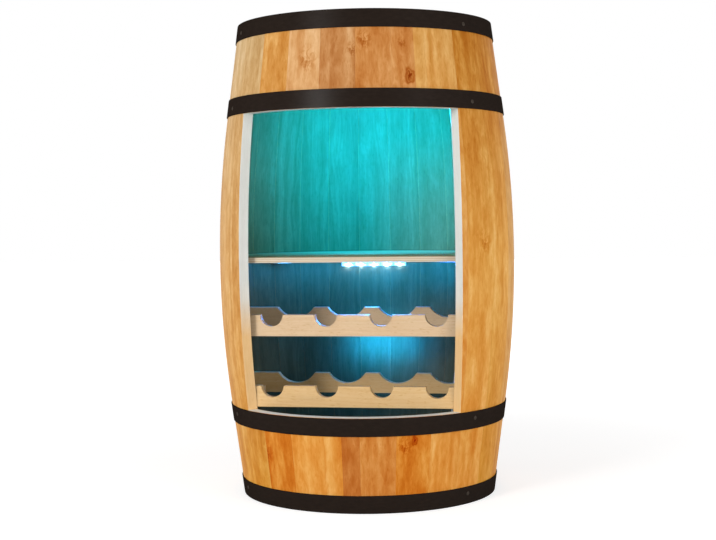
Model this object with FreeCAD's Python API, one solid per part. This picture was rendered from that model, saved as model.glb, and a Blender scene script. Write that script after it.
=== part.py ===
"""Barrel bar cabinet: an upright barrel with a window, one shelf, two bottle racks and LED light.

The frame has its origin at the centre of the base, +Z up, and the window faces -Y.
Angles round the barrel, such as every turn and the places of tapes and blocks, are measured from the
middle of the window and grow towards +X.
Depths are measured square to the barrel's outer wood surface, inwards. A negative depth lies outside it.
All lengths are in millimetres and all angles in degrees.
"""

import FreeCAD, Part

import math
import os

Vector = FreeCAD.Vector
ORIGIN = Vector(0, 0, 0)
X_AXIS = Vector(1, 0, 0)
Y_AXIS = Vector(0, 1, 0)
Z_AXIS = Vector(0, 0, 1)

# Barrel
HEIGHT = 800.0
BELLY_RADIUS = 254.5
BEND_RADIUS = 1754.0  # bend of a stave along its length
BEND_HALF_HEIGHT = 235.0  # beyond this the staves run straight to the rims
STAVE_THICKNESS = 18.0
STAVE_COUNT = 25
FIRST_JOINT_ANGLE = 5.6  # joint between staves that is nearest to the middle of the window
RIM_LAND = 11.0  # width of the flat end of a stave
RIM_BEVEL_HEIGHT = 10.0

# Window
WINDOW_REVEAL = 0.5  # wood that shows between a quarter hoop and the edge of the window
WINDOW_HALF_ANGLE = 46.0  # at half height
WINDOW_HALF_ANGLE_AT_ENDS = 47.8
WINDOW_STEPS = 8  # straight saw strokes that follow each side

# Heads, each a disc of doweled boards in a groove
HEAD_RECESS = 20.0
HEAD_THICKNESS = 18.0
HEAD_RIM_THICKNESS = 7.0
HEAD_RIM_BEVEL = 16.0
HEAD_BOARDS = 4
HEAD_GROOVE_DEPTH = 5.0
HEAD_SHOULDER_GAP = 1.0  # from the wall to where the head's rim starts to thicken
HEAD_DOWEL_SPREAD = 85.0  # from the middle of a joint to each of its two dowels
DOWEL_RADIUS = 4.0
DOWEL_LENGTH = 36.0

# Hoops, flat straps whose ends lap at the back
HOOP_WIDTH = 29.5
HOOP_THICKNESS = 1.5
QUARTER_HOOP_INSET = 126.0  # from the rim of the barrel to the quarter hoop
HOOP_LAP_LENGTH = 44.0
HOOP_RAMP_LENGTH = 24.0
LAP_STAVE_NUMBER = 12
RIVET_SPACING = 22.0
RIVET_RADIUS = 2.5
RIVET_HEAD_RADIUS = 5.0
RIVET_HEAD_HEIGHT = 2.0
NAIL_STAVE_NUMBERS = (3, 11, 20)
NAIL_OFFSET = 3.0  # from the middle of the hoop towards the belly
NAIL_RADIUS = 1.5
NAIL_LENGTH = 16.0
NAIL_HEAD_RADIUS = 3.5
NAIL_HEAD_HEIGHT = 1.6

# Shelf and bottle racks, stacked up from the sill of the window
FRONT_SET_BACK = 106.5  # from the belly to the front faces of the shelf and the front rails
LOWER_RACK_RISE = 4.0  # from the sill to the lower rails
RACK_PITCH = 117.5  # from the lower rails to the upper ones
SHELF_RISE = 130.0  # from the underside of the upper rails to the top of the shelf
SHELF_THICKNESS = 9.0
WIRE_NOTCH_RADIUS = 4.0
RAIL_THICKNESS = 15.0
RAIL_HEIGHT = 35.0
RACK_DEPTH = 188.0  # from the front of a front rail to the front of its rear rail
BOTTLES_PER_RACK = 4
END_SEAT_INSET = 31.5  # from the end of the lower front rail to the middle of its first seat
NECK_SEAT_RADIUS = 19.0
BODY_SEAT_RADIUS = 39.5
BODY_SEAT_DROP = 18.0  # depth of a body seat below the top of its rail
RAIL_BLOCK_WIDTH = 20.0
RAIL_BLOCK_DEPTH = 28.0  # from the wall towards the middle
RAIL_BLOCK_HEIGHT = 28.0
SHELF_BLOCK_WIDTH = 34.0
SHELF_BLOCK_DEPTH = 24.0
SHELF_BLOCK_HEIGHT = 10.0
SHELF_BLOCK_ANGLES = (-125.0, -72.0, 72.0, 125.0)

# Wood screws
SCREW_RADIUS = 2.0
SCREW_HEAD_RADIUS = 4.0
SCREW_HEAD_HEIGHT = 2.6
SCREW_TIP_LENGTH = 4.0
SCREW_BITE = 10.0  # length of a screw beyond the piece that its head sits in
SCREW_RISE = 6.0  # the two screws of a rail block pass each other at this height from its middle
RAIL_SCREW_INSET = 6.0  # from the inner end of a rail block to the screw that holds the rail
SMALL_SCREW_RADIUS = 1.2
SMALL_SCREW_HEAD_RADIUS = 2.4
SMALL_SCREW_HEAD_HEIGHT = 1.2
SMALL_SCREW_LENGTH = 10.0

# LED tapes
TAPE_WIDTH = 10.0
TAPE_THICKNESS = 1.0
CHIP_SIZE = 5.0
CHIP_HEIGHT = 1.6
CHIP_PITCH = 25.0
UPPER_TAPE_CHIPS = 11
UPPER_TAPE_RISE = 13.0  # from the upper edge of the window to the middle of the tape
UPPER_TAPE_ANGLE = 0.0
SHELF_TAPE_CHIPS = 5
SHELF_TAPE_DROP = 14.5  # from the underside of the shelf to the middle of the tape
SHELF_TAPE_ANGLE = 186.1

# LED controller, upright on the inner face of a header stave
CONTROLLER_STAVE_NUMBER = 0
CONTROLLER_TAPE_GAP = 4.0  # from the upper tape to the controller
CASE_WIDTH = 24.0
CASE_LENGTH = 56.0
CASE_DEPTH = 10.0
CASE_WALL = 1.6
CASE_EAR_LENGTH = 8.0
CASE_EAR_THICKNESS = 2.0
COVER_THICKNESS = 1.6
KEY_NAMES = ("key_colour", "key_brightness", "key_power")  # from the lowest up
KEY_WIDTH = 9.0
KEY_LENGTH = 7.0
KEY_PITCH = 15.0
KEY_HEIGHT = 1.4  # above the cover, at rest
KEY_FLANGE = 1.0  # how far the key's flange reaches under the cover
KEY_FLANGE_THICKNESS = 1.0
KEY_TRAVEL = 0.5
BOARD_THICKNESS = 1.2
BOARD_STANDOFF = 1.5
SWITCH_SIZE = 6.0

# Power inlet and wires
INLET_STAVE_NUMBER = 9
INLET_HEIGHT = 90.0
INLET_PLATE_WIDTH = 30.0
INLET_PLATE_LENGTH = 20.0
INLET_PLATE_THICKNESS = 2.0
INLET_SCREW_SPREAD = 11.0
INLET_BODY_RADIUS = 6.0
INLET_BODY_LENGTH = 13.0
INLET_BORE_RADIUS = 2.8
INLET_BORE_DEPTH = 9.5
INLET_PIN_RADIUS = 1.0
WIRE_RADIUS = 1.5
SHELF_WIRE_RISE = 3.2  # from the middle of the shelf tape to the wire that feeds it
JUNCTION_SIZE = 12.0
JUNCTION_DEPTH = 6.0

# Clearances
HOOP_GAP = 0.1  # hoop to wood
GROOVE_GAP = 0.2  # head to its groove
WALL_GAP = 0.3  # pieces that stand against the curved inner wall
HOLE_GAP = 0.1  # screws, nails, rivets and dowels in their holes
PART_GAP = 0.1  # electric parts to what carries them
KEY_GAP = 0.2  # keys in the cover
KEY_SWITCH_GAP = 0.2  # key to switch when pressed

MIDDLE = HEIGHT / 2
BEND_ANGLE = math.asin(BEND_HALF_HEIGHT / BEND_RADIUS)
STAVE_STEP = 360.0 / STAVE_COUNT
CUTTER_REACH = 3 * BELLY_RADIUS
WINDOW_BOTTOM = QUARTER_HOOP_INSET + HOOP_WIDTH + WINDOW_REVEAL
WINDOW_TOP = HEIGHT - WINDOW_BOTTOM
LOWER_RACK_BOTTOM = WINDOW_BOTTOM + LOWER_RACK_RISE
UPPER_RACK_BOTTOM = LOWER_RACK_BOTTOM + RACK_PITCH
SHELF_TOP = UPPER_RACK_BOTTOM + SHELF_RISE
SHELF_BOTTOM = SHELF_TOP - SHELF_THICKNESS
FRONT_PLANE = FRONT_SET_BACK - BELLY_RADIUS  # Y of the front faces of the shelf and the front rails
REAR_PLANE = FRONT_PLANE + RACK_DEPTH  # Y of the front faces of the rear rails
UPPER_TAPE_HEIGHT = WINDOW_TOP + UPPER_TAPE_RISE
SHELF_TAPE_HEIGHT = SHELF_BOTTOM - SHELF_TAPE_DROP
SHELF_WIRE_HEIGHT = SHELF_TAPE_HEIGHT + SHELF_WIRE_RISE
CONTROLLER_BOTTOM = UPPER_TAPE_HEIGHT + TAPE_WIDTH / 2 + CONTROLLER_TAPE_GAP
CONTROLLER_HEIGHT = CONTROLLER_BOTTOM + CASE_EAR_LENGTH + CASE_LENGTH / 2


# The barrel wall: a circular bend about the belly, and straight runs to the rims

def wall_radius(height, depth=0.0):
    """Radius of the wall at a height, on the surface that lies depth below the outer one."""
    bend = BEND_RADIUS - depth
    centre = BELLY_RADIUS - BEND_RADIUS
    rise = abs(height - MIDDLE)
    knee = bend * math.sin(BEND_ANGLE)
    if rise <= knee:
        return centre + math.sqrt(bend**2 - rise**2)
    return centre + bend * math.cos(BEND_ANGLE) - (rise - knee) * math.tan(BEND_ANGLE)


def wall_tilt(height, depth=0.0):
    """Angle by which the outward normal of the wall points up."""
    steepest = math.sin(BEND_ANGLE)
    slope = (height - MIDDLE) / (BEND_RADIUS - depth)
    return math.degrees(math.asin(max(-steepest, min(steepest, slope))))


def section_point(height, depth):
    return Vector(wall_radius(height, depth), 0, height)


def wall_edges(start, end, depth):
    """Edges of the wall's section from one height to another, at a depth."""
    knee = (BEND_RADIUS - depth) * math.sin(BEND_ANGLE)
    low, high = sorted((start, end))
    stops = [low]
    stops += [height for height in (MIDDLE - knee, MIDDLE + knee) if low < height < high]
    stops += [high]
    if start > end:
        stops.reverse()
    edges = []
    for first, last in zip(stops, stops[1:]):
        halfway = (first + last) / 2
        ends = section_point(first, depth), section_point(last, depth)
        if abs(halfway - MIDDLE) < knee:
            edges.append(Part.Arc(ends[0], section_point(halfway, depth), ends[1]).toShape())
        else:
            edges.append(Part.LineSegment(*ends).toShape())
    return edges


def polyline(points):
    return [Part.LineSegment(first, last).toShape() for first, last in zip(points, points[1:])]


def face_of(edges):
    return Part.Face(Part.Wire(edges))


def band_face(low, high, inner_depth, outer_depth):
    """Section of a band that follows the wall between two heights and two depths."""
    edges = wall_edges(low, high, outer_depth)
    edges += polyline([section_point(high, outer_depth), section_point(high, inner_depth)])
    edges += wall_edges(high, low, inner_depth)
    edges += polyline([section_point(low, inner_depth), section_point(low, outer_depth)])
    return face_of(edges)


def at_turn(shape, turn):
    """Turn a shape from the section plane, which holds +X, to a place round the barrel."""
    moved = shape.copy()
    moved.rotate(ORIGIN, Z_AXIS, turn - 90)
    return moved


def swept(face, first_turn, last_turn):
    return at_turn(face, first_turn).revolve(ORIGIN, Z_AXIS, last_turn - first_turn)


def on_wall(shape, turn, height, depth=0.0):
    """Place a shape whose +X points out of the wall, +Y round the barrel and +Z up along the wall.

    Its origin comes to the given height, on the surface at that depth.
    """
    moved = shape.copy()
    moved.rotate(ORIGIN, Y_AXIS, -wall_tilt(height, depth))
    moved.translate(section_point(height, depth))
    return at_turn(moved, turn)


def turn_span(length, height, depth=0.0):
    """Angle round the barrel that a length takes up at a height."""
    return math.degrees(length / wall_radius(height, depth))


def stave_turn(stave):
    """Turn of the middle of a stave, counted from the one right of the middle of the window."""
    return FIRST_JOINT_ANGLE + (stave + 0.5) * STAVE_STEP


def inner_space(depth):
    """The room inside the barrel, up to a depth."""
    edges = wall_edges(0, HEIGHT, depth)
    edges += polyline([section_point(HEIGHT, depth), Vector(0, 0, HEIGHT), ORIGIN, section_point(0, depth)])
    return face_of(edges).revolve(ORIGIN, Z_AXIS, 360)


def box(x_range, y_range, z_range):
    size = [high - low for low, high in (x_range, y_range, z_range)]
    return Part.makeBox(*size, Vector(x_range[0], y_range[0], z_range[0]))


def centred_box(depth_range, width, length):
    return box(depth_range, (-width / 2, width / 2), (-length / 2, length / 2))


def drilled(shape, holes):
    """Cut the holes that reach a shape, and give back its one solid."""
    near = [hole for hole in holes if hole.BoundBox.intersect(shape.BoundBox)]
    return shape.cut(near).Solids[0] if near else shape


def aimed(shape, place, direction):
    """Turn a shape's +X to a direction and move its origin to a place."""
    moved = shape.copy()
    moved.Placement = FreeCAD.Placement(place, FreeCAD.Rotation(X_AXIS, direction))
    return moved


# Fasteners, all made along +X

def round_headed(shank_radius, shank_length, head_radius, head_height):
    """Nail or rivet with its head's underside at X = 0 and its shank along -X."""
    rim = Vector(0, 0, head_radius)
    crown = Vector(head_height, 0, 0)
    dome_radius = (head_radius**2 + head_height**2) / (2 * head_height)
    dome_centre = head_height - dome_radius
    half_angle = math.atan2(head_radius, -dome_centre) / 2
    shoulder = Vector(dome_centre + dome_radius * math.cos(half_angle), 0, dome_radius * math.sin(half_angle))
    tail = Vector(-shank_length, 0, 0)
    edges = [Part.Arc(rim, shoulder, crown).toShape()]
    edges += polyline([crown, tail, Vector(-shank_length, 0, shank_radius), Vector(0, 0, shank_radius), rim])
    return face_of(edges).revolve(ORIGIN, X_AXIS, 360)


def wood_screw(length, shank=SCREW_RADIUS, head=SCREW_HEAD_RADIUS, head_height=SCREW_HEAD_HEIGHT, gap=0.0):
    """Countersunk screw with the top of its head at X = 0. With a gap it is the hole for that screw."""
    outline = [(0, head + gap), (head_height, shank + gap), (length - SCREW_TIP_LENGTH, shank + gap)]
    outline.append((length + gap, 0))
    if gap:
        outline.insert(0, (-gap, head + gap))
    start = (outline[0][0], 0)
    points = [Vector(x, 0, radius) for x, radius in [start, *outline, start]]
    return face_of(polyline(points)).revolve(ORIGIN, X_AXIS, 360)


def small_screw(gap=0.0):
    return wood_screw(SMALL_SCREW_LENGTH, SMALL_SCREW_RADIUS, SMALL_SCREW_HEAD_RADIUS,
                      SMALL_SCREW_HEAD_HEIGHT, gap)


# Hoops

def hoop_bands():
    """Name, lower edge and side of the belly of each hoop. The side is 1 below the belly, -1 above."""
    low_quarter = QUARTER_HOOP_INSET
    return [
        ("hoop_bottom", 0.0, 1),
        ("hoop_lower", low_quarter, 1),
        ("hoop_upper", HEIGHT - low_quarter - HOOP_WIDTH, -1),
        ("hoop_top", HEIGHT - HOOP_WIDTH, -1),
    ]


def hoop_strap(low):
    """One strap round the barrel, whose tail climbs over its start and laps it."""
    high = low + HOOP_WIDTH
    lap = turn_span(HOOP_LAP_LENGTH, low)
    ramp = turn_span(HOOP_RAMP_LENGTH, low)
    start = stave_turn(LAP_STAVE_NUMBER) - lap / 2
    inner = -HOOP_GAP
    on_wood = band_face(low, high, inner, inner - HOOP_THICKNESS)
    on_strap = band_face(low, high, inner - HOOP_THICKNESS, inner - 2 * HOOP_THICKNESS)
    ring = swept(on_wood, start, start + 360 - ramp)
    tail = swept(on_strap, start, start + lap)
    ends = [at_turn(on_wood, start - ramp).OuterWire, at_turn(on_strap, start).OuterWire]
    climb = Part.makeLoft(ends, True, True)
    return ring.fuse([climb, tail])


def hoop_pins(low, side):
    """Nails and rivets of a hoop, and the holes that they need."""
    middle = low + HOOP_WIDTH / 2
    nail_height = middle + side * NAIL_OFFSET
    nail = round_headed(NAIL_RADIUS, NAIL_LENGTH, NAIL_HEAD_RADIUS, NAIL_HEAD_HEIGHT)
    nail_hole = Part.makeCylinder(NAIL_RADIUS + HOLE_GAP, NAIL_LENGTH + HOLE_GAP, ORIGIN, -X_AXIS)
    nail_seat = -(HOOP_THICKNESS + 2 * HOOP_GAP)
    nails = [on_wall(nail, stave_turn(stave), nail_height, nail_seat) for stave in NAIL_STAVE_NUMBERS]
    nail_holes = [on_wall(nail_hole, stave_turn(stave), nail_height, nail_seat) for stave in NAIL_STAVE_NUMBERS]
    lap_reach = 2 * HOOP_THICKNESS + HOOP_GAP
    rivet = round_headed(RIVET_RADIUS, lap_reach, RIVET_HEAD_RADIUS, RIVET_HEAD_HEIGHT)
    rivet_hole = Part.makeCylinder(RIVET_RADIUS + HOLE_GAP, 3 * lap_reach, Vector(lap_reach, 0, 0), -X_AXIS)
    rivet_seat = -(lap_reach + HOOP_GAP)
    half = turn_span(RIVET_SPACING / 2, middle)
    turns = [stave_turn(LAP_STAVE_NUMBER) - half, stave_turn(LAP_STAVE_NUMBER) + half]
    rivets = [on_wall(rivet, turn, middle, rivet_seat) for turn in turns]
    rivet_holes = [on_wall(rivet_hole, turn, middle, rivet_seat) for turn in turns]
    return nails, nail_holes, rivets, rivet_holes


# Staves

def head_middle(top):
    """Height of the middle of the top or bottom head."""
    inset = HEAD_RECESS + HEAD_THICKNESS / 2
    return HEIGHT - inset if top else inset


def stave_section():
    """Section of a stave: bevelled at both rims and grooved for both heads."""
    inner = STAVE_THICKNESS
    groove = STAVE_THICKNESS - HEAD_GROOVE_DEPTH
    half_groove = HEAD_RIM_THICKNESS / 2 + GROOVE_GAP
    low_groove = head_middle(top=False)
    high_groove = head_middle(top=True)
    bevel_top = HEIGHT - RIM_BEVEL_HEIGHT
    edges = wall_edges(0, HEIGHT, 0.0)
    edges += polyline([
        section_point(HEIGHT, 0.0),
        section_point(HEIGHT, RIM_LAND),
        section_point(bevel_top, inner),
    ])
    edges += wall_edges(bevel_top, high_groove + half_groove, inner)
    edges += polyline([
        section_point(high_groove + half_groove, inner),
        section_point(high_groove + half_groove, groove),
        section_point(high_groove - half_groove, groove),
        section_point(high_groove - half_groove, inner),
    ])
    edges += wall_edges(high_groove - half_groove, low_groove + half_groove, inner)
    edges += polyline([
        section_point(low_groove + half_groove, inner),
        section_point(low_groove + half_groove, groove),
        section_point(low_groove - half_groove, groove),
        section_point(low_groove - half_groove, inner),
    ])
    edges += wall_edges(low_groove - half_groove, RIM_BEVEL_HEIGHT, inner)
    edges += polyline([
        section_point(RIM_BEVEL_HEIGHT, inner),
        section_point(0, RIM_LAND),
        section_point(0, 0.0),
    ])
    return face_of(edges)


def window_cutter():
    """Wedge that is sawn out of the wall, with its sides square to the surface."""
    half_height = (WINDOW_TOP - WINDOW_BOTTOM) / 2
    middle = (WINDOW_TOP + WINDOW_BOTTOM) / 2
    wires = []
    for step in range(WINDOW_STEPS + 1):
        height = WINDOW_BOTTOM + (WINDOW_TOP - WINDOW_BOTTOM) * step / WINDOW_STEPS
        fullness = 1 - ((height - middle) / half_height) ** 2
        narrowing = WINDOW_HALF_ANGLE_AT_ENDS - WINDOW_HALF_ANGLE
        half_turn = math.radians(WINDOW_HALF_ANGLE_AT_ENDS - narrowing * fullness)
        reach_x = CUTTER_REACH * math.sin(half_turn)
        reach_y = -CUTTER_REACH * math.cos(half_turn)
        corners = [Vector(0, 0, height), Vector(reach_x, reach_y, height), Vector(-reach_x, reach_y, height)]
        wires.append(Part.makePolygon(corners + corners[:1]))
    return Part.makeLoft(wires, True, True)


def make_staves(holes):
    """All staves by name: whole ones, notched ones beside the window, and short ones above and below it."""
    section = stave_section()
    cutter = window_cutter()
    widest = max(WINDOW_HALF_ANGLE, WINDOW_HALF_ANGLE_AT_ENDS)
    staves = {}
    whole = []
    short = []
    for number in range(STAVE_COUNT):
        middle = stave_turn(number)
        stave = swept(section, middle - STAVE_STEP / 2, middle + STAVE_STEP / 2)
        from_window = (middle + 180) % 360 - 180
        if abs(from_window) - STAVE_STEP / 2 > widest:
            whole.append(stave)
            continue
        pieces = sorted(stave.cut(cutter).Solids, key=lambda solid: solid.CenterOfMass.z)
        if len(pieces) == 1:
            side = "left" if from_window < 0 else "right"
            staves["window_side_stave_" + side] = pieces[0]
        else:
            short.append((from_window, pieces))
    for number, stave in enumerate(whole, 1):
        staves[f"stave_{number:02d}"] = stave
    short.sort(key=lambda entry: entry[0])
    for number, (from_window, pieces) in enumerate(short, 1):
        staves[f"apron_stave_{number}"] = pieces[0]
        staves[f"header_stave_{number}"] = pieces[-1]
    return {name: drilled(stave, holes) for name, stave in staves.items()}


# Heads

def head_dowels(top, gap=0.0):
    """Dowels across the joints of a head, or with a gap the holes for them."""
    board_width = 2 * head_radius(top) / HEAD_BOARDS
    length = DOWEL_LENGTH + 2 * gap
    dowels = []
    for joint in range(1, HEAD_BOARDS):
        middle = joint * board_width - head_radius(top)
        for side in (-1, 1):
            start = Vector(middle - length / 2, side * HEAD_DOWEL_SPREAD, head_middle(top))
            dowels.append(Part.makeCylinder(DOWEL_RADIUS + gap, length, start, X_AXIS))
    return dowels


def head_radius(top):
    return wall_radius(head_middle(top), STAVE_THICKNESS) + HEAD_GROOVE_DEPTH - GROOVE_GAP


def head_boards(top):
    """The boards of a head, from -X to +X, bevelled at the rim to fit the groove."""
    radius = head_radius(top)
    inner = radius - HEAD_RIM_BEVEL
    shoulder = radius - HEAD_GROOVE_DEPTH - HEAD_SHOULDER_GAP
    half = HEAD_THICKNESS / 2
    half_rim = HEAD_RIM_THICKNESS / 2
    upper = [(radius, half_rim), (shoulder, half_rim), (inner, half), (0, half)]
    lower = [(r, -z) for r, z in reversed(upper)]
    points = [Vector(r, 0, head_middle(top) + z) for r, z in lower + upper + lower[:1]]
    disc = face_of(polyline(points)).revolve(ORIGIN, Z_AXIS, 360)
    width = 2 * radius / HEAD_BOARDS
    holes = head_dowels(top, HOLE_GAP)
    boards = []
    for number in range(HEAD_BOARDS):
        left = number * width - radius
        slab = box((left, left + width), (-radius, radius), (0, HEIGHT))
        boards.append(drilled(disc.common(slab).Solids[0], holes))
    return boards


# Shelf and racks

def make_shelf():
    """Board that fits the round wall behind, with a straight front edge and a notch for the wire."""
    radius = min(wall_radius(z, STAVE_THICKNESS) for z in (SHELF_BOTTOM, SHELF_TOP)) - WALL_GAP
    disc = Part.makeCylinder(radius, SHELF_THICKNESS, Vector(0, 0, SHELF_BOTTOM))
    keep = box((-radius, radius), (FRONT_PLANE, radius), (SHELF_BOTTOM, SHELF_TOP))
    notch = Part.makeCylinder(WIRE_NOTCH_RADIUS, SHELF_THICKNESS, Vector(radius, 0, SHELF_BOTTOM))
    return disc.common(keep).cut(at_turn(notch, stave_turn(INLET_STAVE_NUMBER))).Solids[0]


def bottle_places():
    """X of each bottle of a rack, spread over the lower front rail, which is the shortest."""
    end_radius = wall_radius(LOWER_RACK_BOTTOM + RAIL_HEIGHT, STAVE_THICKNESS)
    outermost = math.sqrt(end_radius**2 - FRONT_PLANE**2) - END_SEAT_INSET
    pitch = 2 * outermost / (BOTTLES_PER_RACK - 1)
    return [number * pitch - outermost for number in range(BOTTLES_PER_RACK)]


def make_rail(front, bottom, seat_radius, seat_drop, room):
    """Rail across the barrel, its ends cut to the wall, with one round seat for each bottle."""
    top = bottom + RAIL_HEIGHT
    reach = BELLY_RADIUS
    bar = box((-reach, reach), (front, front + RAIL_THICKNESS), (bottom, top)).common(room)
    seat_height = top + seat_radius - seat_drop
    starts = [Vector(x, front, seat_height) for x in bottle_places()]
    seats = [Part.makeCylinder(seat_radius, RAIL_THICKNESS, start, Y_AXIS) for start in starts]
    return bar.cut(seats).Solids[0]


def rail_block(front, bottom, side, room):
    """Block behind one end of a rail, and its two screws: one to the wall and one to the rail."""
    y_range = (front + RAIL_THICKNESS, front + RAIL_THICKNESS + RAIL_BLOCK_WIDTH)
    y_middle = sum(y_range) / 2
    middle = bottom + RAIL_HEIGHT / 2
    z_range = (middle - RAIL_BLOCK_HEIGHT / 2, middle + RAIL_BLOCK_HEIGHT / 2)
    wall_x = math.sqrt(wall_radius(middle, STAVE_THICKNESS) ** 2 - y_middle**2)
    inner_x = wall_x - RAIL_BLOCK_DEPTH
    x_range = sorted((side * inner_x, side * BELLY_RADIUS))
    block = box(x_range, y_range, z_range).common(room).Solids[0]
    to_wall = (Vector(side * inner_x, y_middle, middle + SCREW_RISE), Vector(side, 0, 0), RAIL_BLOCK_DEPTH)
    rail_x = side * (inner_x + RAIL_SCREW_INSET)
    to_rail = (Vector(rail_x, y_range[1], middle - SCREW_RISE), Vector(0, -1, 0), RAIL_BLOCK_WIDTH)
    return block, [to_wall, to_rail]


def shelf_block(turn, room):
    """Block on the wall under the shelf, and its screw."""
    middle = SHELF_BOTTOM - SHELF_BLOCK_HEIGHT / 2
    inner = wall_radius(middle, STAVE_THICKNESS) - SHELF_BLOCK_DEPTH
    half = SHELF_BLOCK_WIDTH / 2
    blank = box((inner, BELLY_RADIUS), (-half, half), (SHELF_BOTTOM - SHELF_BLOCK_HEIGHT, SHELF_BOTTOM))
    block = at_turn(blank, turn).common(room).Solids[0]
    spoke = Vector(math.sin(math.radians(turn)), -math.cos(math.radians(turn)), 0)
    head = spoke * inner + Vector(0, 0, middle)
    return block, [(head, spoke, SHELF_BLOCK_DEPTH)]


def make_supports(racks):
    """All support blocks, their screws and the holes for them."""
    room = inner_space(STAVE_THICKNESS + WALL_GAP)
    blocks = []
    places = []
    for front, bottom in racks:
        for side in (-1, 1):
            block, screws = rail_block(front, bottom, side, room)
            blocks.append(block)
            places += screws
    for turn in SHELF_BLOCK_ANGLES:
        block, screws = shelf_block(turn, room)
        blocks.append(block)
        places += screws
    screws = [aimed(wood_screw(grip + SCREW_BITE), *place) for *place, grip in places]
    holes = [aimed(wood_screw(grip + SCREW_BITE, gap=HOLE_GAP), *place) for *place, grip in places]
    return [drilled(block, holes) for block in blocks], screws, holes


# LED tapes

def led_tape(turn, height, chips):
    """Tape glued along the inner wall, with its chips."""
    back = STAVE_THICKNESS + PART_GAP
    front = back + TAPE_THICKNESS
    half_span = turn_span(CHIP_PITCH * chips / 2, height, STAVE_THICKNESS)
    band = band_face(height - TAPE_WIDTH / 2, height + TAPE_WIDTH / 2, front, back)
    solids = [swept(band, turn - half_span, turn + half_span)]
    chip = centred_box((-CHIP_HEIGHT, 0), CHIP_SIZE, CHIP_SIZE)
    step = turn_span(CHIP_PITCH, height, STAVE_THICKNESS)
    for number in range(chips):
        chip_turn = turn + (number - (chips - 1) / 2) * step
        solids.append(on_wall(chip, chip_turn, height, front + PART_GAP))
    return solids


# LED controller. Its shapes are made with the wall at X = 0 and the keys towards -X.

def key_places():
    """Middle of each key, measured along the case."""
    return [(number - (len(KEY_NAMES) - 1) / 2) * KEY_PITCH for number in range(len(KEY_NAMES))]


def controller_place(shape):
    return on_wall(shape, stave_turn(CONTROLLER_STAVE_NUMBER), CONTROLLER_HEIGHT, STAVE_THICKNESS)


def case_back():
    """How far the flat back stands off the hollow wall so that its two long edges just clear it."""
    radius = wall_radius(CONTROLLER_HEIGHT, STAVE_THICKNESS)
    return radius - math.sqrt(radius**2 - (CASE_WIDTH / 2) ** 2) + PART_GAP


def case_screw_places():
    """Middle of each ear, measured along the case."""
    ear_middle = CASE_LENGTH / 2 + CASE_EAR_LENGTH / 2
    return [-ear_middle, ear_middle]


def controller_case():
    back = -case_back()
    front = back - CASE_DEPTH
    tray = centred_box((front, back), CASE_WIDTH, CASE_LENGTH)
    hollow = centred_box((front, back - CASE_WALL), CASE_WIDTH - 2 * CASE_WALL, CASE_LENGTH - 2 * CASE_WALL)
    ears = centred_box((back - CASE_EAR_THICKNESS, back), CASE_WIDTH / 2, CASE_LENGTH + 2 * CASE_EAR_LENGTH)
    return tray.cut(hollow).fuse(ears).removeSplitter()


def case_screws(gap=0.0):
    """Screws through the ears, driven outwards into the stave."""
    seat = -case_back() - CASE_EAR_THICKNESS
    screw = small_screw(gap)
    return [controller_place(screw.translated(Vector(seat, 0, z))) for z in case_screw_places()]


def controller_cover():
    inner = -case_back() - CASE_DEPTH
    cover = centred_box((inner - COVER_THICKNESS, inner), CASE_WIDTH, CASE_LENGTH)
    opening = centred_box((inner - COVER_THICKNESS, inner), KEY_WIDTH + 2 * KEY_GAP, KEY_LENGTH + 2 * KEY_GAP)
    return cover.cut([opening.translated(Vector(0, 0, z)) for z in key_places()])


def controller_key(place):
    """Key with a flange that keeps it behind the cover."""
    inner = -case_back() - CASE_DEPTH
    cap = centred_box((inner - COVER_THICKNESS - KEY_HEIGHT, inner + KEY_GAP), KEY_WIDTH, KEY_LENGTH)
    flange_range = (inner + KEY_GAP, inner + KEY_GAP + KEY_FLANGE_THICKNESS)
    flange = centred_box(flange_range, KEY_WIDTH + 2 * KEY_FLANGE, KEY_LENGTH + 2 * KEY_FLANGE)
    return cap.fuse(flange).removeSplitter().translated(Vector(0, 0, place))


def controller_board():
    """Circuit board on the bottom of the case, and a switch behind each key."""
    floor = -case_back() - CASE_WALL - BOARD_STANDOFF
    width = CASE_WIDTH - 2 * CASE_WALL - 2 * PART_GAP
    length = CASE_LENGTH - 2 * CASE_WALL - 2 * PART_GAP
    board_front = floor - BOARD_THICKNESS
    board = centred_box((board_front, floor), width, length)
    rest = centred_box((floor, floor + BOARD_STANDOFF), CASE_WALL, CASE_WALL)
    corner_y = width / 2 - CASE_WALL
    corner_z = length / 2 - CASE_WALL
    rests = [rest.translated(Vector(0, y, z)) for y in (-corner_y, corner_y) for z in (-corner_z, corner_z)]
    key_back = -case_back() - CASE_DEPTH + KEY_GAP + KEY_FLANGE_THICKNESS
    switch_front = key_back + KEY_TRAVEL + KEY_SWITCH_GAP
    switch = centred_box((switch_front, board_front), SWITCH_SIZE, SWITCH_SIZE)
    switches = [switch.translated(Vector(0, 0, z)) for z in key_places()]
    return board.fuse(rests + switches)


# Power inlet and wires

def power_inlet():
    """Plate on the outside of a stave, with a socket body behind it and a contact pin in its bore."""
    outer = HOOP_GAP + INLET_PLATE_THICKNESS
    plate = centred_box((HOOP_GAP, outer), INLET_PLATE_WIDTH, INLET_PLATE_LENGTH)
    body = Part.makeCylinder(INLET_BODY_RADIUS, INLET_BODY_LENGTH, Vector(HOOP_GAP, 0, 0), -X_AXIS)
    bore = Part.makeCylinder(INLET_BORE_RADIUS, INLET_BORE_DEPTH, Vector(outer, 0, 0), -X_AXIS)
    pin = Part.makeCylinder(INLET_PIN_RADIUS, INLET_BORE_DEPTH, Vector(outer, 0, 0), -X_AXIS)
    socket = plate.fuse(body).cut(bore).fuse(pin).removeSplitter()
    return drilled(on_inlet(socket), inlet_screws(HOLE_GAP))


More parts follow.
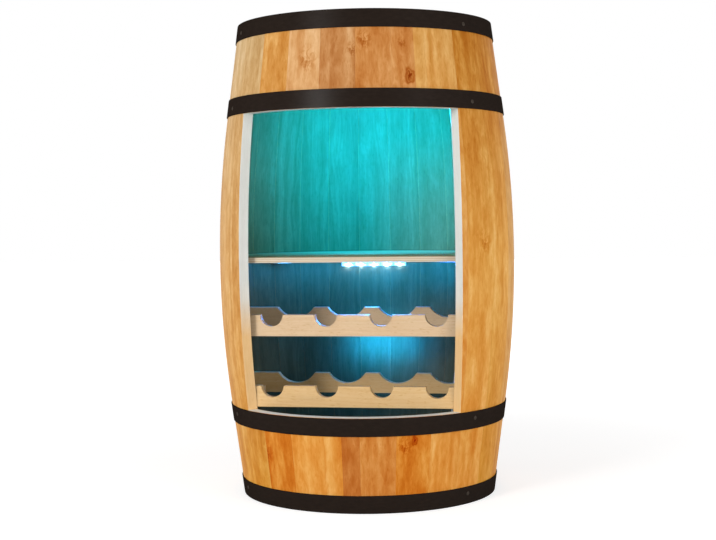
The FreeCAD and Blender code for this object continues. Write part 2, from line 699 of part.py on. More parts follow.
def on_inlet(shape):
    return on_wall(shape, stave_turn(INLET_STAVE_NUMBER), INLET_HEIGHT)


def inlet_screws(gap=0.0):
    screws = []
    for side in (-1, 1):
        seat = Vector(HOOP_GAP + INLET_PLATE_THICKNESS, side * INLET_SCREW_SPREAD, 0)
        screws.append(on_inlet(aimed(small_screw(gap), seat, -X_AXIS)))
    return screws


def inlet_hole():
    """Hole through the stave for the socket body and the wire."""
    start = Vector(HOOP_GAP + INLET_PLATE_THICKNESS, 0, 0)
    return on_inlet(Part.makeCylinder(INLET_BODY_RADIUS + HOLE_GAP, 2 * STAVE_THICKNESS, start, -X_AXIS))


def wire_depth():
    return STAVE_THICKNESS + WALL_GAP + WIRE_RADIUS


def upright_wire(low, high):
    """Wire up the inner wall between two heights, in the section plane."""
    spine = Part.Wire(wall_edges(low, high, wire_depth()))
    first = spine.Edges[0]
    section = Part.Wire(Part.makeCircle(WIRE_RADIUS, first.valueAt(first.FirstParameter),
                                        first.tangentAt(first.FirstParameter)))
    return spine.makePipeShell([section], True, False)


def inlet_wire(high):
    """Wire from the back of the socket through the stave, and then up the inner wall."""
    tilt = math.radians(wall_tilt(INLET_HEIGHT))
    outward = Vector(math.cos(tilt), 0, math.sin(tilt))
    upward = Vector(-math.sin(tilt), 0, math.cos(tilt))
    corner = section_point(INLET_HEIGHT, 0.0) - outward * wire_depth()
    bend = wire_depth() + HOOP_GAP - INLET_BODY_LENGTH - PART_GAP
    bend_start = corner + outward * bend
    bend_end = corner + upward * bend
    bend_middle = bend_start + upward * bend - (outward + upward) * bend * math.sqrt(0.5)
    edges = [Part.Arc(bend_start, bend_middle, bend_end).toShape()]
    edges += wall_edges(bend_end.z, high, wire_depth())
    section = Part.Wire(Part.makeCircle(WIRE_RADIUS, bend_start, outward))
    return Part.Wire(edges).makePipeShell([section], True, False)


def round_wire(first_turn, last_turn, height):
    """Wire round the inner wall at one height."""
    centre = section_point(height, wire_depth())
    section = Part.Face(Part.Wire(Part.makeCircle(WIRE_RADIUS, centre, Y_AXIS)))
    return swept(section, first_turn, last_turn)


def junction(turn, height):
    """Connector block on the inner wall, where wires meet."""
    block = centred_box((-JUNCTION_DEPTH, 0), JUNCTION_SIZE, JUNCTION_SIZE)
    sag = JUNCTION_SIZE**2 / 8 / wall_radius(height, STAVE_THICKNESS)
    return on_wall(block, turn, height, STAVE_THICKNESS + sag + PART_GAP)


def make_wiring():
    """Wires from the inlet up the wall, to the shelf tape, the controller and the upper tape."""
    riser_turn = stave_turn(INLET_STAVE_NUMBER)
    half = JUNCTION_SIZE / 2 + PART_GAP
    pieces = [at_turn(inlet_wire(SHELF_WIRE_HEIGHT - half), riser_turn)]
    pieces.append(junction(riser_turn, SHELF_WIRE_HEIGHT))
    pieces.append(at_turn(upright_wire(SHELF_WIRE_HEIGHT + half, CONTROLLER_HEIGHT - half), riser_turn))
    pieces.append(junction(riser_turn, CONTROLLER_HEIGHT))
    side_gap = turn_span(half, SHELF_WIRE_HEIGHT, wire_depth())
    tape_half = turn_span(CHIP_PITCH * SHELF_TAPE_CHIPS / 2 + PART_GAP, SHELF_TAPE_HEIGHT, STAVE_THICKNESS)
    pieces.append(round_wire(riser_turn + side_gap, SHELF_TAPE_ANGLE - tape_half, SHELF_WIRE_HEIGHT))
    controller_side = turn_span(CASE_WIDTH / 2 + WALL_GAP, CONTROLLER_HEIGHT, wire_depth())
    top_gap = turn_span(half, CONTROLLER_HEIGHT, wire_depth())
    controller_turn = stave_turn(CONTROLLER_STAVE_NUMBER)
    pieces.append(round_wire(controller_turn + controller_side, riser_turn - top_gap, CONTROLLER_HEIGHT))
    tape_top = UPPER_TAPE_HEIGHT + TAPE_WIDTH / 2 + PART_GAP
    pieces.append(at_turn(upright_wire(tape_top, CONTROLLER_BOTTOM - WALL_GAP), controller_turn))
    return pieces


# Assembly

def save(name, solids):
    shape = solids[0] if len(solids) == 1 else Part.makeCompound(solids)
    shape.exportStep(f"parts/{name}.step")


def main():
    os.makedirs("parts", exist_ok=True)
    racks = {
        "front_rail_upper": (FRONT_PLANE, UPPER_RACK_BOTTOM),
        "front_rail_lower": (FRONT_PLANE, LOWER_RACK_BOTTOM),
        "rear_rail_upper": (REAR_PLANE, UPPER_RACK_BOTTOM),
        "rear_rail_lower": (REAR_PLANE, LOWER_RACK_BOTTOM),
    }
    parts = {}
    nails = []
    rivets = []
    stave_holes = []
    for name, low, side in hoop_bands():
        hoop_nails, nail_holes, hoop_rivets, rivet_holes = hoop_pins(low, side)
        parts[name] = [drilled(hoop_strap(low), nail_holes + rivet_holes)]
        nails += hoop_nails
        rivets += hoop_rivets
        stave_holes += nail_holes
    parts["hoop_nails"] = nails
    parts["hoop_rivets"] = rivets

    blocks, screws, screw_holes = make_supports(racks.values())
    parts["support_blocks"] = blocks
    parts["wood_screws"] = screws
    small_holes = case_screws(HOLE_GAP) + inlet_screws(HOLE_GAP)
    stave_holes += screw_holes + small_holes + [inlet_hole()]
    for name, stave in make_staves(stave_holes).items():
        parts[name] = [stave]

    for number, board in enumerate(head_boards(top=True), 1):
        parts[f"top_head_board_{number}"] = [board]
    parts["bottom_head_boards"] = head_boards(top=False)
    parts["head_dowels"] = head_dowels(top=True) + head_dowels(top=False)

    parts["shelf"] = [make_shelf()]
    room = inner_space(STAVE_THICKNESS + WALL_GAP)
    for name, (front, bottom) in racks.items():
        seat = (BODY_SEAT_RADIUS, BODY_SEAT_DROP)
        if name.startswith("front"):
            seat = (NECK_SEAT_RADIUS, NECK_SEAT_RADIUS)
        parts[name] = [drilled(make_rail(front, bottom, *seat, room), screw_holes)]

    parts["led_tape_upper"] = led_tape(UPPER_TAPE_ANGLE, UPPER_TAPE_HEIGHT, UPPER_TAPE_CHIPS)
    parts["led_tape_shelf"] = led_tape(SHELF_TAPE_ANGLE, SHELF_TAPE_HEIGHT, SHELF_TAPE_CHIPS)
    parts["controller_case"] = [drilled(controller_place(controller_case()), case_screws(HOLE_GAP))]
    parts["controller_cover"] = [controller_place(controller_cover())]
    parts["controller_board"] = [controller_place(controller_board())]
    for name, place in zip(KEY_NAMES, key_places()):
        parts[name] = [controller_place(controller_key(place))]
    parts["small_screws"] = case_screws() + inlet_screws()
    parts["power_inlet"] = [power_inlet()]
    parts["wiring"] = make_wiring()

    for name, solids in parts.items():
        save(name, solids)
        volume = sum(solid.Volume for solid in solids)
        print(f"{name}: {len(solids)} solid(s), {volume:.0f} mm3")
    print(len(parts), "nodes")


main()
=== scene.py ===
"""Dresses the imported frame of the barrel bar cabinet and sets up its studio.

Heights and depths are in millimetres and turns in degrees, as in the frame's source: a turn is measured
round the barrel from the middle of the window and grows towards +X, and a depth is measured into the wall.
Points of meshes are in metres.
"""

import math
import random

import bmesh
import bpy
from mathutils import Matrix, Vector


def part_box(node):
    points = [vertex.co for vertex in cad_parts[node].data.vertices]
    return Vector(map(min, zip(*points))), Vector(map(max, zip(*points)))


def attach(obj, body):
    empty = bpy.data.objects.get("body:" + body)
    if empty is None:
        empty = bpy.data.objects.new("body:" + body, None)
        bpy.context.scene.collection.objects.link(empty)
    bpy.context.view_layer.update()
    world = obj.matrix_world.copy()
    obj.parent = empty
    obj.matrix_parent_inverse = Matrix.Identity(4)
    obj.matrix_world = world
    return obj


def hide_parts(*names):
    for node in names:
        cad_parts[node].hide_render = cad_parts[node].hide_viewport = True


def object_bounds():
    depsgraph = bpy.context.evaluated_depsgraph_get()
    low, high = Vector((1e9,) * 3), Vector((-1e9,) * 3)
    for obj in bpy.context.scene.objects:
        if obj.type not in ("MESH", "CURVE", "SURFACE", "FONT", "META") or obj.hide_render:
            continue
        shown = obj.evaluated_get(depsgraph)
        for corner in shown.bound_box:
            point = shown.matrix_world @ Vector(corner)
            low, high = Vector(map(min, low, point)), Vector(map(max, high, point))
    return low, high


bl_info = {
    "name": "Barrel bar cabinet",
    "version": (1, 0, 0),
    "blender": (4, 5, 0),
    "location": "3D View > Sidebar > Barrel",
    "description": "Staves, hoops, racks, LED light and studio of a barrel bar cabinet",
    "category": "Object",
}

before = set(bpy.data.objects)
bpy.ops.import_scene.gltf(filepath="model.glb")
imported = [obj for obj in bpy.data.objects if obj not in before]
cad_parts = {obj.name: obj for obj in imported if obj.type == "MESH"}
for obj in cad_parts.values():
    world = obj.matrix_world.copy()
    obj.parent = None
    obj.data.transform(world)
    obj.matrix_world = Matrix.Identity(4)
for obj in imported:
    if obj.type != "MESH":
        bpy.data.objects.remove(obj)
CAD_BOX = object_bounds()
CABINET = "cabinet"
SEED = 7

MM = 0.001

# Barrel wall
HEIGHT = round(CAD_BOX[1].z / MM, 3)
MIDDLE = HEIGHT / 2
BELLY_RADIUS = 254.5
BEND_RADIUS = 1754.0
BEND_HALF_HEIGHT = 235.0
BEND_ANGLE = math.asin(BEND_HALF_HEIGHT / BEND_RADIUS)
STAVE_THICKNESS = 18.0
STAVE_COUNT = 25
STAVE_STEP = 360 / STAVE_COUNT
FIRST_JOINT = 5.6
FIRST_JOINT_SHORT_STAVE = 4  # number of the header and apron stave right of that joint
STAVE_COLUMNS = 6  # facets across a stave
RIM_LAND = 11.0
RIM_BEVEL_HEIGHT = 10.0
CROZE_DEPTH = 5.0
CROZE_LEVELS = (25.3, 32.7, HEIGHT - 32.7, HEIGHT - 25.3)
SHADED_INSIDE_REACH = MIDDLE - 28.0  # the inner wall is darkened as painted shade between the heads alone
SECTION_STEP = 30.0  # height of a facet of the wall beside the window
END_LEVELS = (60.0, 92.0, 124.0)  # from each end, the levels at which facets meet beyond the window
WELD_DISTANCE = 0.001 * MM

# Window
WINDOW_BOTTOM = 156.0
WINDOW_TOP = HEIGHT - WINDOW_BOTTOM
WINDOW_HALF_ANGLE = 46.0
WINDOW_HALF_ANGLE_AT_ENDS = 47.8
SAWN_CHANGE = (285.0, 350.0)  # heights between which its sides turn from raw wood to the near-white of painted LED light

# How faces and edges of a stave are told apart
SAWN_TOLERANCE = 0.2  # degrees by which the middle of a sawn face may miss the cut
NEAR = 0.5  # height or depth within which a face lies at a level
SAME_TURN = 0.01
SAME_HEIGHT = 0.1
CREASE = math.radians(25)  # flatter edges aren't rounded

# Hoops and their fasteners
HOOP_WIDTH = 29.5
HOOP_THICKNESS = 1.5
HOOP_GAP = 0.1
HOOP_INSET = 126.0
HOOP_LAP_LENGTH = 44.0
HOOP_LAP_GAP = 0.02
HOOP_RAMP_LENGTH = 24.0
HOOP_FACET = 2.0  # degrees
CLOSE_SHARE = 0.13  # share of a hoop, from each end, that lies close to the wood
WAVES = (3, 5, 9)  # swells of a hoop, each so many round the barrel
WAVE_LEAN = 40.0  # height over which a swell leans by a radian
# Name, lower edge, and side of the belly that its nails are shifted to
HOOPS = (
    ("hoop_bottom", 0.0, 1),
    ("hoop_lower", HOOP_INSET, 1),
    ("hoop_upper", HEIGHT - HOOP_INSET - HOOP_WIDTH, -1),
    ("hoop_top", HEIGHT - HOOP_WIDTH, -1),
)
LAP_STAVE = 12
NAIL_STAVES = (3, 11, 20)
NAIL_OFFSET = 3.0
NAIL_HEAD_RADIUS = 3.5
NAIL_HEAD_HEIGHT = 1.6
NAIL_SHANK_RADIUS = 1.5
NAIL_LENGTH = 16.0
RIVET_SPACING = 22.0
RIVET_HEAD_RADIUS = 5.0
RIVET_HEAD_HEIGHT = 2.0
RIVET_SHANK_RADIUS = 2.5
PIN_TIP = 1.0  # length of the point of a nail or rivet
DOME_STEPS = (0, 14, 28, 42, 56, 70, 82)  # degrees from the middle of a domed head

# Numbers of the materials of a stave and of a tape, after the one of its outside
SHADED_INSIDE, SAWN = 1, 2
CHIP_BODY, CHIP_LENS = 1, 2

# LED tapes
TAPE_WIDTH = 10.0
TAPE_THICKNESS = 1.0
CHIP_SIZE = 5.0
CHIP_HEIGHT = 1.6
CHIP_PITCH = 25.0
CHIP_BEAM = 90.0  # degrees
GLARE = 0.3  # share of white in the light close to a chip
CHIP_SEGMENTS = 24
# Loops of a chip: out of the tape, reach from its middle, and share of round in its outline
CHIP_LOOPS = (
    (0.0, CHIP_SIZE / 2, 0.0),
    (0.8 * CHIP_HEIGHT, CHIP_SIZE / 2, 0.0),
    (CHIP_HEIGHT, CHIP_SIZE / 2 - 0.25, 0.0),
    (CHIP_HEIGHT, 0.39 * CHIP_SIZE, 1.0),
    (CHIP_HEIGHT - 0.18, 0.36 * CHIP_SIZE, 1.0),
)
CHIP_LAMP_SIZE = 0.7 * CHIP_SIZE
CHIP_LAMP_STAND_OFF = 0.6
STRAY_DROP = 4.0  # from the middle of a chip to where its stray light leaves it
STRAY_STAND_OFF = 3.0
STRAY_RADIUS = 1.5
TAPE_START = 20 * CHIP_PITCH  # keeps lengths along a tape above zero
# Lamps behind the racks that light the wall as glass in them would: turn, height, tilt below level, and
# share of the power
WASHES = (
    (152.0, 394.0, 58.0, 1.0),
    (184.0, 394.0, 58.0, 1.4),
    (214.0, 394.0, 58.0, 0.7),
    (243.0, 394.0, 58.0, 0.45),
    (181.0, 240.0, 8.0, 1.6),
)
WASH_STAND_OFF = 45.0
WASH_SIZE = (20.0, 90.0)
PART_GAP = 0.1
# Name, turn, chips
UPPER_TAPE = ("led_tape_upper", 0.0, 11)
SHELF_TAPE = ("led_tape_shelf", 186.1, 5)

# Tones of each stave beside, above and below the window, spread evenly from its foot to its head. Those in
# SPLITS instead change at a turn, the line between sapwood and heartwood.
STAVE_TONES = {
    "header_stave_1": ("amber",),
    "header_stave_2": ("beige",),
    "header_stave_3": ("brown",),
    "header_stave_4": ("tan",),
    "header_stave_5": ("tan", "straw"),
    "apron_stave_1": ("orange",),
    "apron_stave_2": ("honey",),
    "apron_stave_3": ("honey", "russet"),
    "apron_stave_4": ("caramel",),
    "apron_stave_5": ("orange",),
    "window_side_stave_left": ("ochre", "sand"),
    "window_side_stave_right": ("honey", "straw"),
    "stave_01": ("honey", "barley", "copper"),
    "stave_02": ("ochre", "barley", "copper"),
    "stave_03": ("ochre", "straw", "copper"),
    "stave_18": ("ochre", "sand"),
    "stave_17": ("ochre", "sand"),
}
SPLITS = {"header_stave_5": 30.2, "apron_stave_3": -1.7}
OTHER_TONES = ("beige", "honey", "barley", "honey", "amber", "amber", "tan", "caramel")
HEAD_TONES = ("head", "tan", "amber", "head")

# Knots: stave, turn, height, half width. Smudges are the clouded grain beside knots that lie deeper.
KNOTS = {
    "header_stave_5": (27.3, 695.0, 10.0),
    "apron_stave_5": (27.5, 118.0, 6.0),
    "stave_04": (70.0, 300.0, 5.5),
    "stave_08": (163.0, 560.0, 6.0),
    "stave_11": (200.0, 250.0, 5.0),
    "stave_15": (-100.0, 590.0, 5.0),
}
SMUDGES = {
    "header_stave_2": (-14.5, 722.0, 13.0),
    "header_stave_3": (4.4, 735.0, 7.0),
    "header_stave_4": (9.0, 750.0, 9.0),
    "header_stave_5": (24.5, 745.0, 5.0),
    "apron_stave_5": (23.5, 108.0, 9.0),
    "apron_stave_1": (-38.0, 90.0, 12.0),
    "stave_01": (58.0, 430.0, 12.0),
    "stave_06": (126.0, 620.0, 10.0),
    "stave_13": (-150.0, 200.0, 10.0),
}
SPOT_STRETCH = (1.0, 3.0, 1.4)  # across, into and along the board, how far a knot or smudge is drawn out
NO_SPOT = (90.0, 90.0, 90.0)  # knot coordinates, far from any knot
PITH_ASIDE = (4.0, 70.0)  # how far the pith of a log lay beside the middle of its stave
PITH_BELOW = (45.0, 110.0)  # and how far behind its outer face
LOG_LENGTH = 6000.0
BOARD_FROM_PITH = (23.0, 61.0, 300.0)
PLY_THICKNESS = 1.5

# Tones within materials, which no setting changes
CHIP_RESIN = "#f1f1ec"
LENS_TONES = ("#d8c15a", "#e9dd9a")
PAD_COPPER = "#c8a27a"
PLY_LONG_GRAIN = "#dccfb8"
PLY_END_GRAIN = "#c9b090"
BOARD_SHADE = "#1c5235"
BOARD_TRACK = "#2f7a50"

# Camera and softboxes, in metres and degrees
CAMERA_PLACE = (0.3829, -2.3253, 0.4737)
CAMERA_YAW = 9.737
CAMERA_PITCH = -2.269
CAMERA_ROLL = -0.721
SENSOR_WIDTH = 36.0  # millimetres
# Name, azimuth, elevation, distance, size, height it is aimed at, and the setting that gives its power.
# Azimuth 0 is in front of the window, and grows towards +X
SOFTBOXES = (
    ("key_softbox", -28.0, 14.0, 3.0, 0.8, 0.4, "key_power"),
    ("fill_softbox", 52.0, 5.0, 3.2, 1.0, 0.4, "fill_power"),
    ("side_softbox_left", -82.0, 2.0, 2.4, 0.9, 0.3, "side_power"),
    ("side_softbox_right", 82.0, 2.0, 2.4, 0.9, 0.3, "side_power"),
)
SKY_AT_HORIZON = 0.6  # share of its strength
SKY_OVERHEAD = 1.4
FLOOR_HALF_SIZE = 12.0
FLOOR_SQUARES = 8


def linear(hex_colour):
    """Linear red, green, blue and alpha of an sRGB hex colour."""
    channels = [int(hex_colour[start:start + 2], 16) / 255 for start in (1, 3, 5)]
    return [c / 12.92 if c <= 0.04045 else ((c + 0.055) / 1.055) ** 2.4 for c in channels] + [1.0]


# Sizes and colours that a user would change

def colour_property(name, description, hex_colour):
    return bpy.props.FloatVectorProperty(name=name, description=description, subtype="COLOR",
                                         default=linear(hex_colour)[:3], min=0.0, max=1.0)


def length_property(name, description, default, lowest, highest):
    """Setting for a length, whose default and limits are given in millimetres."""
    return bpy.props.FloatProperty(name=name, description=description, subtype="DISTANCE", unit="LENGTH",
                                   default=default * MM, min=lowest * MM, max=highest * MM, precision=5)


def power_property(name, description, watts):
    return bpy.props.FloatProperty(name=name, description=description, default=watts, min=0.0, unit="POWER")


class BarrelWood(bpy.types.PropertyGroup):
    beige: colour_property("Beige", "Palest oiled alder", "#dba66e")
    sand: colour_property("Sand", "Pale greyish oiled alder", "#cba876")
    straw: colour_property("Straw", "Yellow oiled alder", "#daa158")
    barley: colour_property("Barley", "Bright yellow oiled alder", "#e7a751")
    honey: colour_property("Honey", "Warm yellow oiled alder", "#ea9d45")
    amber: colour_property("Amber", "Orange-yellow oiled alder", "#d2944b")
    ochre: colour_property("Ochre", "Deep yellow oiled alder", "#d9912f")
    tan: colour_property("Tan", "Middling oiled alder", "#cf8d4e")
    caramel: colour_property("Caramel", "Reddish oiled alder", "#d98b40")
    orange: colour_property("Orange", "Strongest orange of the oiled alder", "#d98129")
    copper: colour_property("Copper", "Dark orange-brown alder", "#c27b29")
    russet: colour_property("Russet", "Red-brown heartwood", "#d0813c")
    brown: colour_property("Brown", "Dull brown heartwood", "#c88c54")
    # The inner wall's colour is darkened as painted shade, so the studio light that falls in through the
    # window stays dim
    inside: colour_property("Inside", "Toasted alder of the inner wall", "#5a5131")
    # Sawn sides of the window: near-white above the racks and on the sill as painted LED light; below the
    # racks raw alder, made paler to make up for the shade there
    window_edge_painted_led_light: colour_property("Window edge", "Limed sawn alder round the window", "#e9e9e3")
    window_edge_low_brightened: colour_property("Window edge, low", "Raw sawn alder low in the window", "#f4ca90")
    head: colour_property("Heads", "Oiled alder of the heads", "#e3ac68")
    rail_upper: colour_property("Upper rails", "Steamed beech of the upper rack", "#e2c29a")
    # The lower rails' beech is warmer and brighter than the upper's: painted light that makes up for the
    # shade of the lower rack
    rail_lower_painted_light: colour_property("Lower rails", "Steamed beech of the lower rack", "#eac288")
    plywood: colour_property("Shelf", "Face veneer of the birch plywood", "#b3966a")
    joint_softness: length_property("Joint edges", "Rounding of the long edges of the staves",
                                    0.25, 0.05, 1.0)
    window_softness: length_property("Window edges", "Rounding of the rims and of the edges of the window",
                                     0.8, 0.1, 2.0)


class BarrelMetal(bpy.types.PropertyGroup):
    hoop: colour_property("Hoops", "Black-brown lacquer of the hoops", "#211812")
    fastener: colour_property("Nails and rivets", "Black-brown steel of the nails and rivets", "#3e362f")
    screw: colour_property("Screws", "Zinc plating of the screws", "#b8b8b4")
    edge_softness: length_property("Hoop edges", "Rounding of the rolled edges of the hoops", 0.4, 0.1, 0.7)
    waviness: length_property("Hoop waviness", "How far a hoop stands off where it was driven on unevenly",
                              0.25, 0.0, 0.5)


class BarrelLight(bpy.types.PropertyGroup):
    upper_colour: colour_property("Upper LED colour", "Light of the tape behind the header", "#00a7ff")
    shelf_colour: colour_property("Shelf LED colour", "Light of the tape under the shelf", "#1089ff")
    upper_power: power_property("Upper chip", "Power of each LED of the tape behind the header", 0.8)
    shelf_power: power_property("Shelf chip", "Power of each LED of the tape under the shelf", 0.11)
    stray_power: power_property("Stray light", "Power of what leaves each shelf LED along the wall", 0.035)
    wash_power: power_property("Wash", "Power of each soft lamp behind the racks", 0.43)
    lens_glow: bpy.props.FloatProperty(
        name="Lens glow", description="Brightness of the lens of a chip", default=5.0, min=0.0)


class BarrelParts(bpy.types.PropertyGroup):
    tape: colour_property("LED tape", "White solder mask of the tapes", "#e9ebe8")
    case: colour_property("Controller", "Moulded case of the LED controller", "#e9e9e6")
    key: colour_property("Keys", "Keys of the LED controller", "#8d9194")
    board: colour_property("Circuit board", "Solder mask of the circuit board", "#205c3b")
    inlet: colour_property("Power inlet", "Moulded plate of the power inlet", "#1b1b1c")
    wire: colour_property("Wire", "Vinyl sleeve of the wires", "#e4e4e0")


class BarrelStage(bpy.types.PropertyGroup):
    key_power: power_property("Key light", "Power of the softbox left of the camera", 46.0)
    fill_power: power_property("Fill light", "Power of the softbox right of the camera", 28.0)
    side_power: power_property("Side lights", "Power of each low softbox beside the barrel", 14.0)
    sky: bpy.props.FloatProperty(
        name="Sky", description="Strength of the light from all round", default=0.3, min=0.0)
    lens: bpy.props.FloatProperty(
        name="Lens", description="Focal length of the camera", default=68.11, min=10.0, unit="CAMERA")
    floor: colour_property("Floor", "Pale floor", "#c4c4c4")


# Places on the barrel wall

def wall_radius(height, depth=0.0):
    """Radius of the wall at a height, on the surface that lies depth below the outer one."""
    bend = BEND_RADIUS - depth
    centre = BELLY_RADIUS - BEND_RADIUS
    rise = abs(height - MIDDLE)
    knee = bend * math.sin(BEND_ANGLE)
    if rise <= knee:
        return centre + math.sqrt(bend**2 - rise**2)
    return centre + bend * math.cos(BEND_ANGLE) - (rise - knee) * math.tan(BEND_ANGLE)


def wall_point(turn, height, depth):
    radius = wall_radius(height, depth) * MM
    angle = math.radians(turn)
    return Vector((radius * math.sin(angle), -radius * math.cos(angle), height * MM))


def wall_frame(turn, height, depth):
    """Matrix whose X points out of the wall, Y round the barrel and Z up along the wall."""
    steepest = math.sin(BEND_ANGLE)
    tilt = math.asin(max(-steepest, min(steepest, (height - MIDDLE) / (BEND_RADIUS - depth))))
    place = Matrix.Translation(wall_point(turn, height, depth))
    return place @ Matrix.Rotation(math.radians(turn - 90), 4, "Z") @ Matrix.Rotation(-tilt, 4, "Y")


def turn_span(length, height, depth=0.0):
    """Angle round the barrel that a length takes up at a height."""
    return math.degrees(length / wall_radius(height, depth))


def stave_turn(number):
    """Turn of the middle of a stave, counted from the one right of the middle of the window."""
    return FIRST_JOINT + (number + 0.5) * STAVE_STEP


def turn_from(turn, start):
    """How far a turn lies from another, between -180 and 180."""
    return (turn - start + 180) % 360 - 180


def window_half_angle(height):
    """Turn from the middle of the window to its side, at a height."""
    half_height = (WINDOW_TOP - WINDOW_BOTTOM) / 2
    fullness = max(0.0, 1 - ((height - MIDDLE) / half_height) ** 2)
    return WINDOW_HALF_ANGLE_AT_ENDS - (WINDOW_HALF_ANGLE_AT_ENDS - WINDOW_HALF_ANGLE) * fullness


# Pieces and materials

def close_mesh(mesh):
    """Join the points of a bmesh that coincide, and turn its faces outwards."""
    bmesh.ops.remove_doubles(mesh, verts=mesh.verts, dist=WELD_DISTANCE)
    bmesh.ops.recalc_face_normals(mesh, faces=mesh.faces)


def add_piece(name, mesh, body, materials, replaced):
    """Turn a closed bmesh into a piece that rides a body and stands for a node of the frame."""
    data = bpy.data.meshes.new(name)
    mesh.to_mesh(data)
    mesh.free()
    for material in materials:
        data.materials.append(material)
    data.shade_smooth()
    piece = bpy.data.objects.new(name, data)
    bpy.context.scene.collection.objects.link(piece)
    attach(piece, body)
    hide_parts(replaced)
    return piece


def soften(piece, width, method="ANGLE", angle=35.0):
    """Round the edges of a piece by a width in metres, and keep its broad faces flat."""
    bevel = piece.modifiers.new("Soft edges", "BEVEL")
    bevel.width = width
    bevel.segments = 2
    bevel.limit_method = method
    bevel.angle_limit = math.radians(angle)
    bevel.harden_normals = True


def finish_node(name, material, softness):
    """Give a node of the frame its material, and round its edges by a softness in millimetres."""
    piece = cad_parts[name]
    if not piece.material_slots:
        piece.data.materials.append(material)
    for slot in piece.material_slots:
        slot.material = material
    weld = piece.modifiers.new("Weld", "WELD")
    weld.merge_threshold = WELD_DISTANCE
    soften(piece, softness * MM)


def new_material(name):
    """Empty material and its node tree."""
    material = bpy.data.materials.new(name)
    material.use_nodes = True
    material.node_tree.nodes.clear()
    return material, material.node_tree


def add_node(tree, kind, inputs=(), stops=(), **settings):
    """Add a node. Inputs are values, outputs, or nodes whose first output is linked.

    Stops are the places and colours of a colour ramp, and settings the node's own properties.
    """
    made = tree.nodes.new(kind)
    for name, value in settings.items():
        setattr(made, name, value)
    for name, value in dict(inputs).items():
        if isinstance(value, bpy.types.Node):
            value = value.outputs[0]
        if isinstance(value, bpy.types.NodeSocket):
            tree.links.new(value, made.inputs[name])
        else:
            made.inputs[name].default_value = value
    for number, (place, colour) in enumerate(stops):
        if number < 2:
            element = made.color_ramp.elements[number]
            element.position = place
        else:
            element = made.color_ramp.elements.new(place)
        element.color = colour
    return made


def grey(value):
    return (value, value, value, 1.0)


def knot_marks(tree):
    """How far the rings bulge round a knot in millimetres, and how dark the knot and the smudge are."""
    spot = add_node(tree, "ShaderNodeAttribute", attribute_name="knot").outputs["Vector"]
    # The grain round a knot is stirred, so its outline and rings are as well
    swirl = add_node(tree, "ShaderNodeTexNoise", {"Vector": spot, "Scale": 0.9, "Detail": 2.0})
    stirred = add_node(tree, "ShaderNodeVectorMath", {
        0: swirl.outputs["Color"], 1: (1.7, 1.7, 1.7), 2: spot}, operation="MULTIPLY_ADD")
    centred = add_node(tree, "ShaderNodeVectorMath", {0: stirred, 1: (0.85, 0.85, 0.85)},
                       operation="SUBTRACT")
    distance = add_node(tree, "ShaderNodeVectorMath", {0: centred}, operation="LENGTH").outputs["Value"]
    # Rings part and flow round a knot, up to 9 mm aside
    fall = add_node(tree, "ShaderNodeMath", {0: distance, 1: -0.5}, operation="MULTIPLY")
    nearness = add_node(tree, "ShaderNodeMath", {0: fall}, operation="EXPONENT")
    bulge = add_node(tree, "ShaderNodeMath", {0: nearness, 1: 9.0}, operation="MULTIPLY")
    # The eye of the knot is dark, with rings of its own
    eye = add_node(tree, "ShaderNodeMapRange", {0: distance, 1: 0.1, 2: 1.15, 3: 1.0, 4: 0.0})
    phase = add_node(tree, "ShaderNodeMath", {0: distance, 1: 11.0}, operation="MULTIPLY")
    whorl = add_node(tree, "ShaderNodeMath", {0: phase}, operation="SINE")
    contrast = add_node(tree, "ShaderNodeMath", {0: whorl, 1: 0.5, 2: 1.0}, operation="MULTIPLY_ADD")
    darkness = add_node(tree, "ShaderNodeMath", {0: eye, 1: contrast}, operation="MULTIPLY")
    # A smudge is a cloud of wisps
    smudge = add_node(tree, "ShaderNodeAttribute", attribute_name="smudge").outputs["Vector"]
    wisps = add_node(tree, "ShaderNodeTexNoise", {
        "Vector": smudge, "Scale": 1.6, "Detail": 3.0, "Distortion": 1.2})
    reach = add_node(tree, "ShaderNodeVectorMath", {0: smudge}, operation="LENGTH").outputs["Value"]
    near = add_node(tree, "ShaderNodeMapRange", {0: reach, 1: 0.2, 2: 1.6, 3: 1.0, 4: 0.0})
    wisp = add_node(tree, "ShaderNodeMapRange", {0: wisps, 1: 0.42, 2: 0.66, 3: 0.0, 4: 0.8})
    return bulge, add_node(tree, "ShaderNodeMath", {0: near, 1: wisp, 2: darkness}, operation="MULTIPLY_ADD")


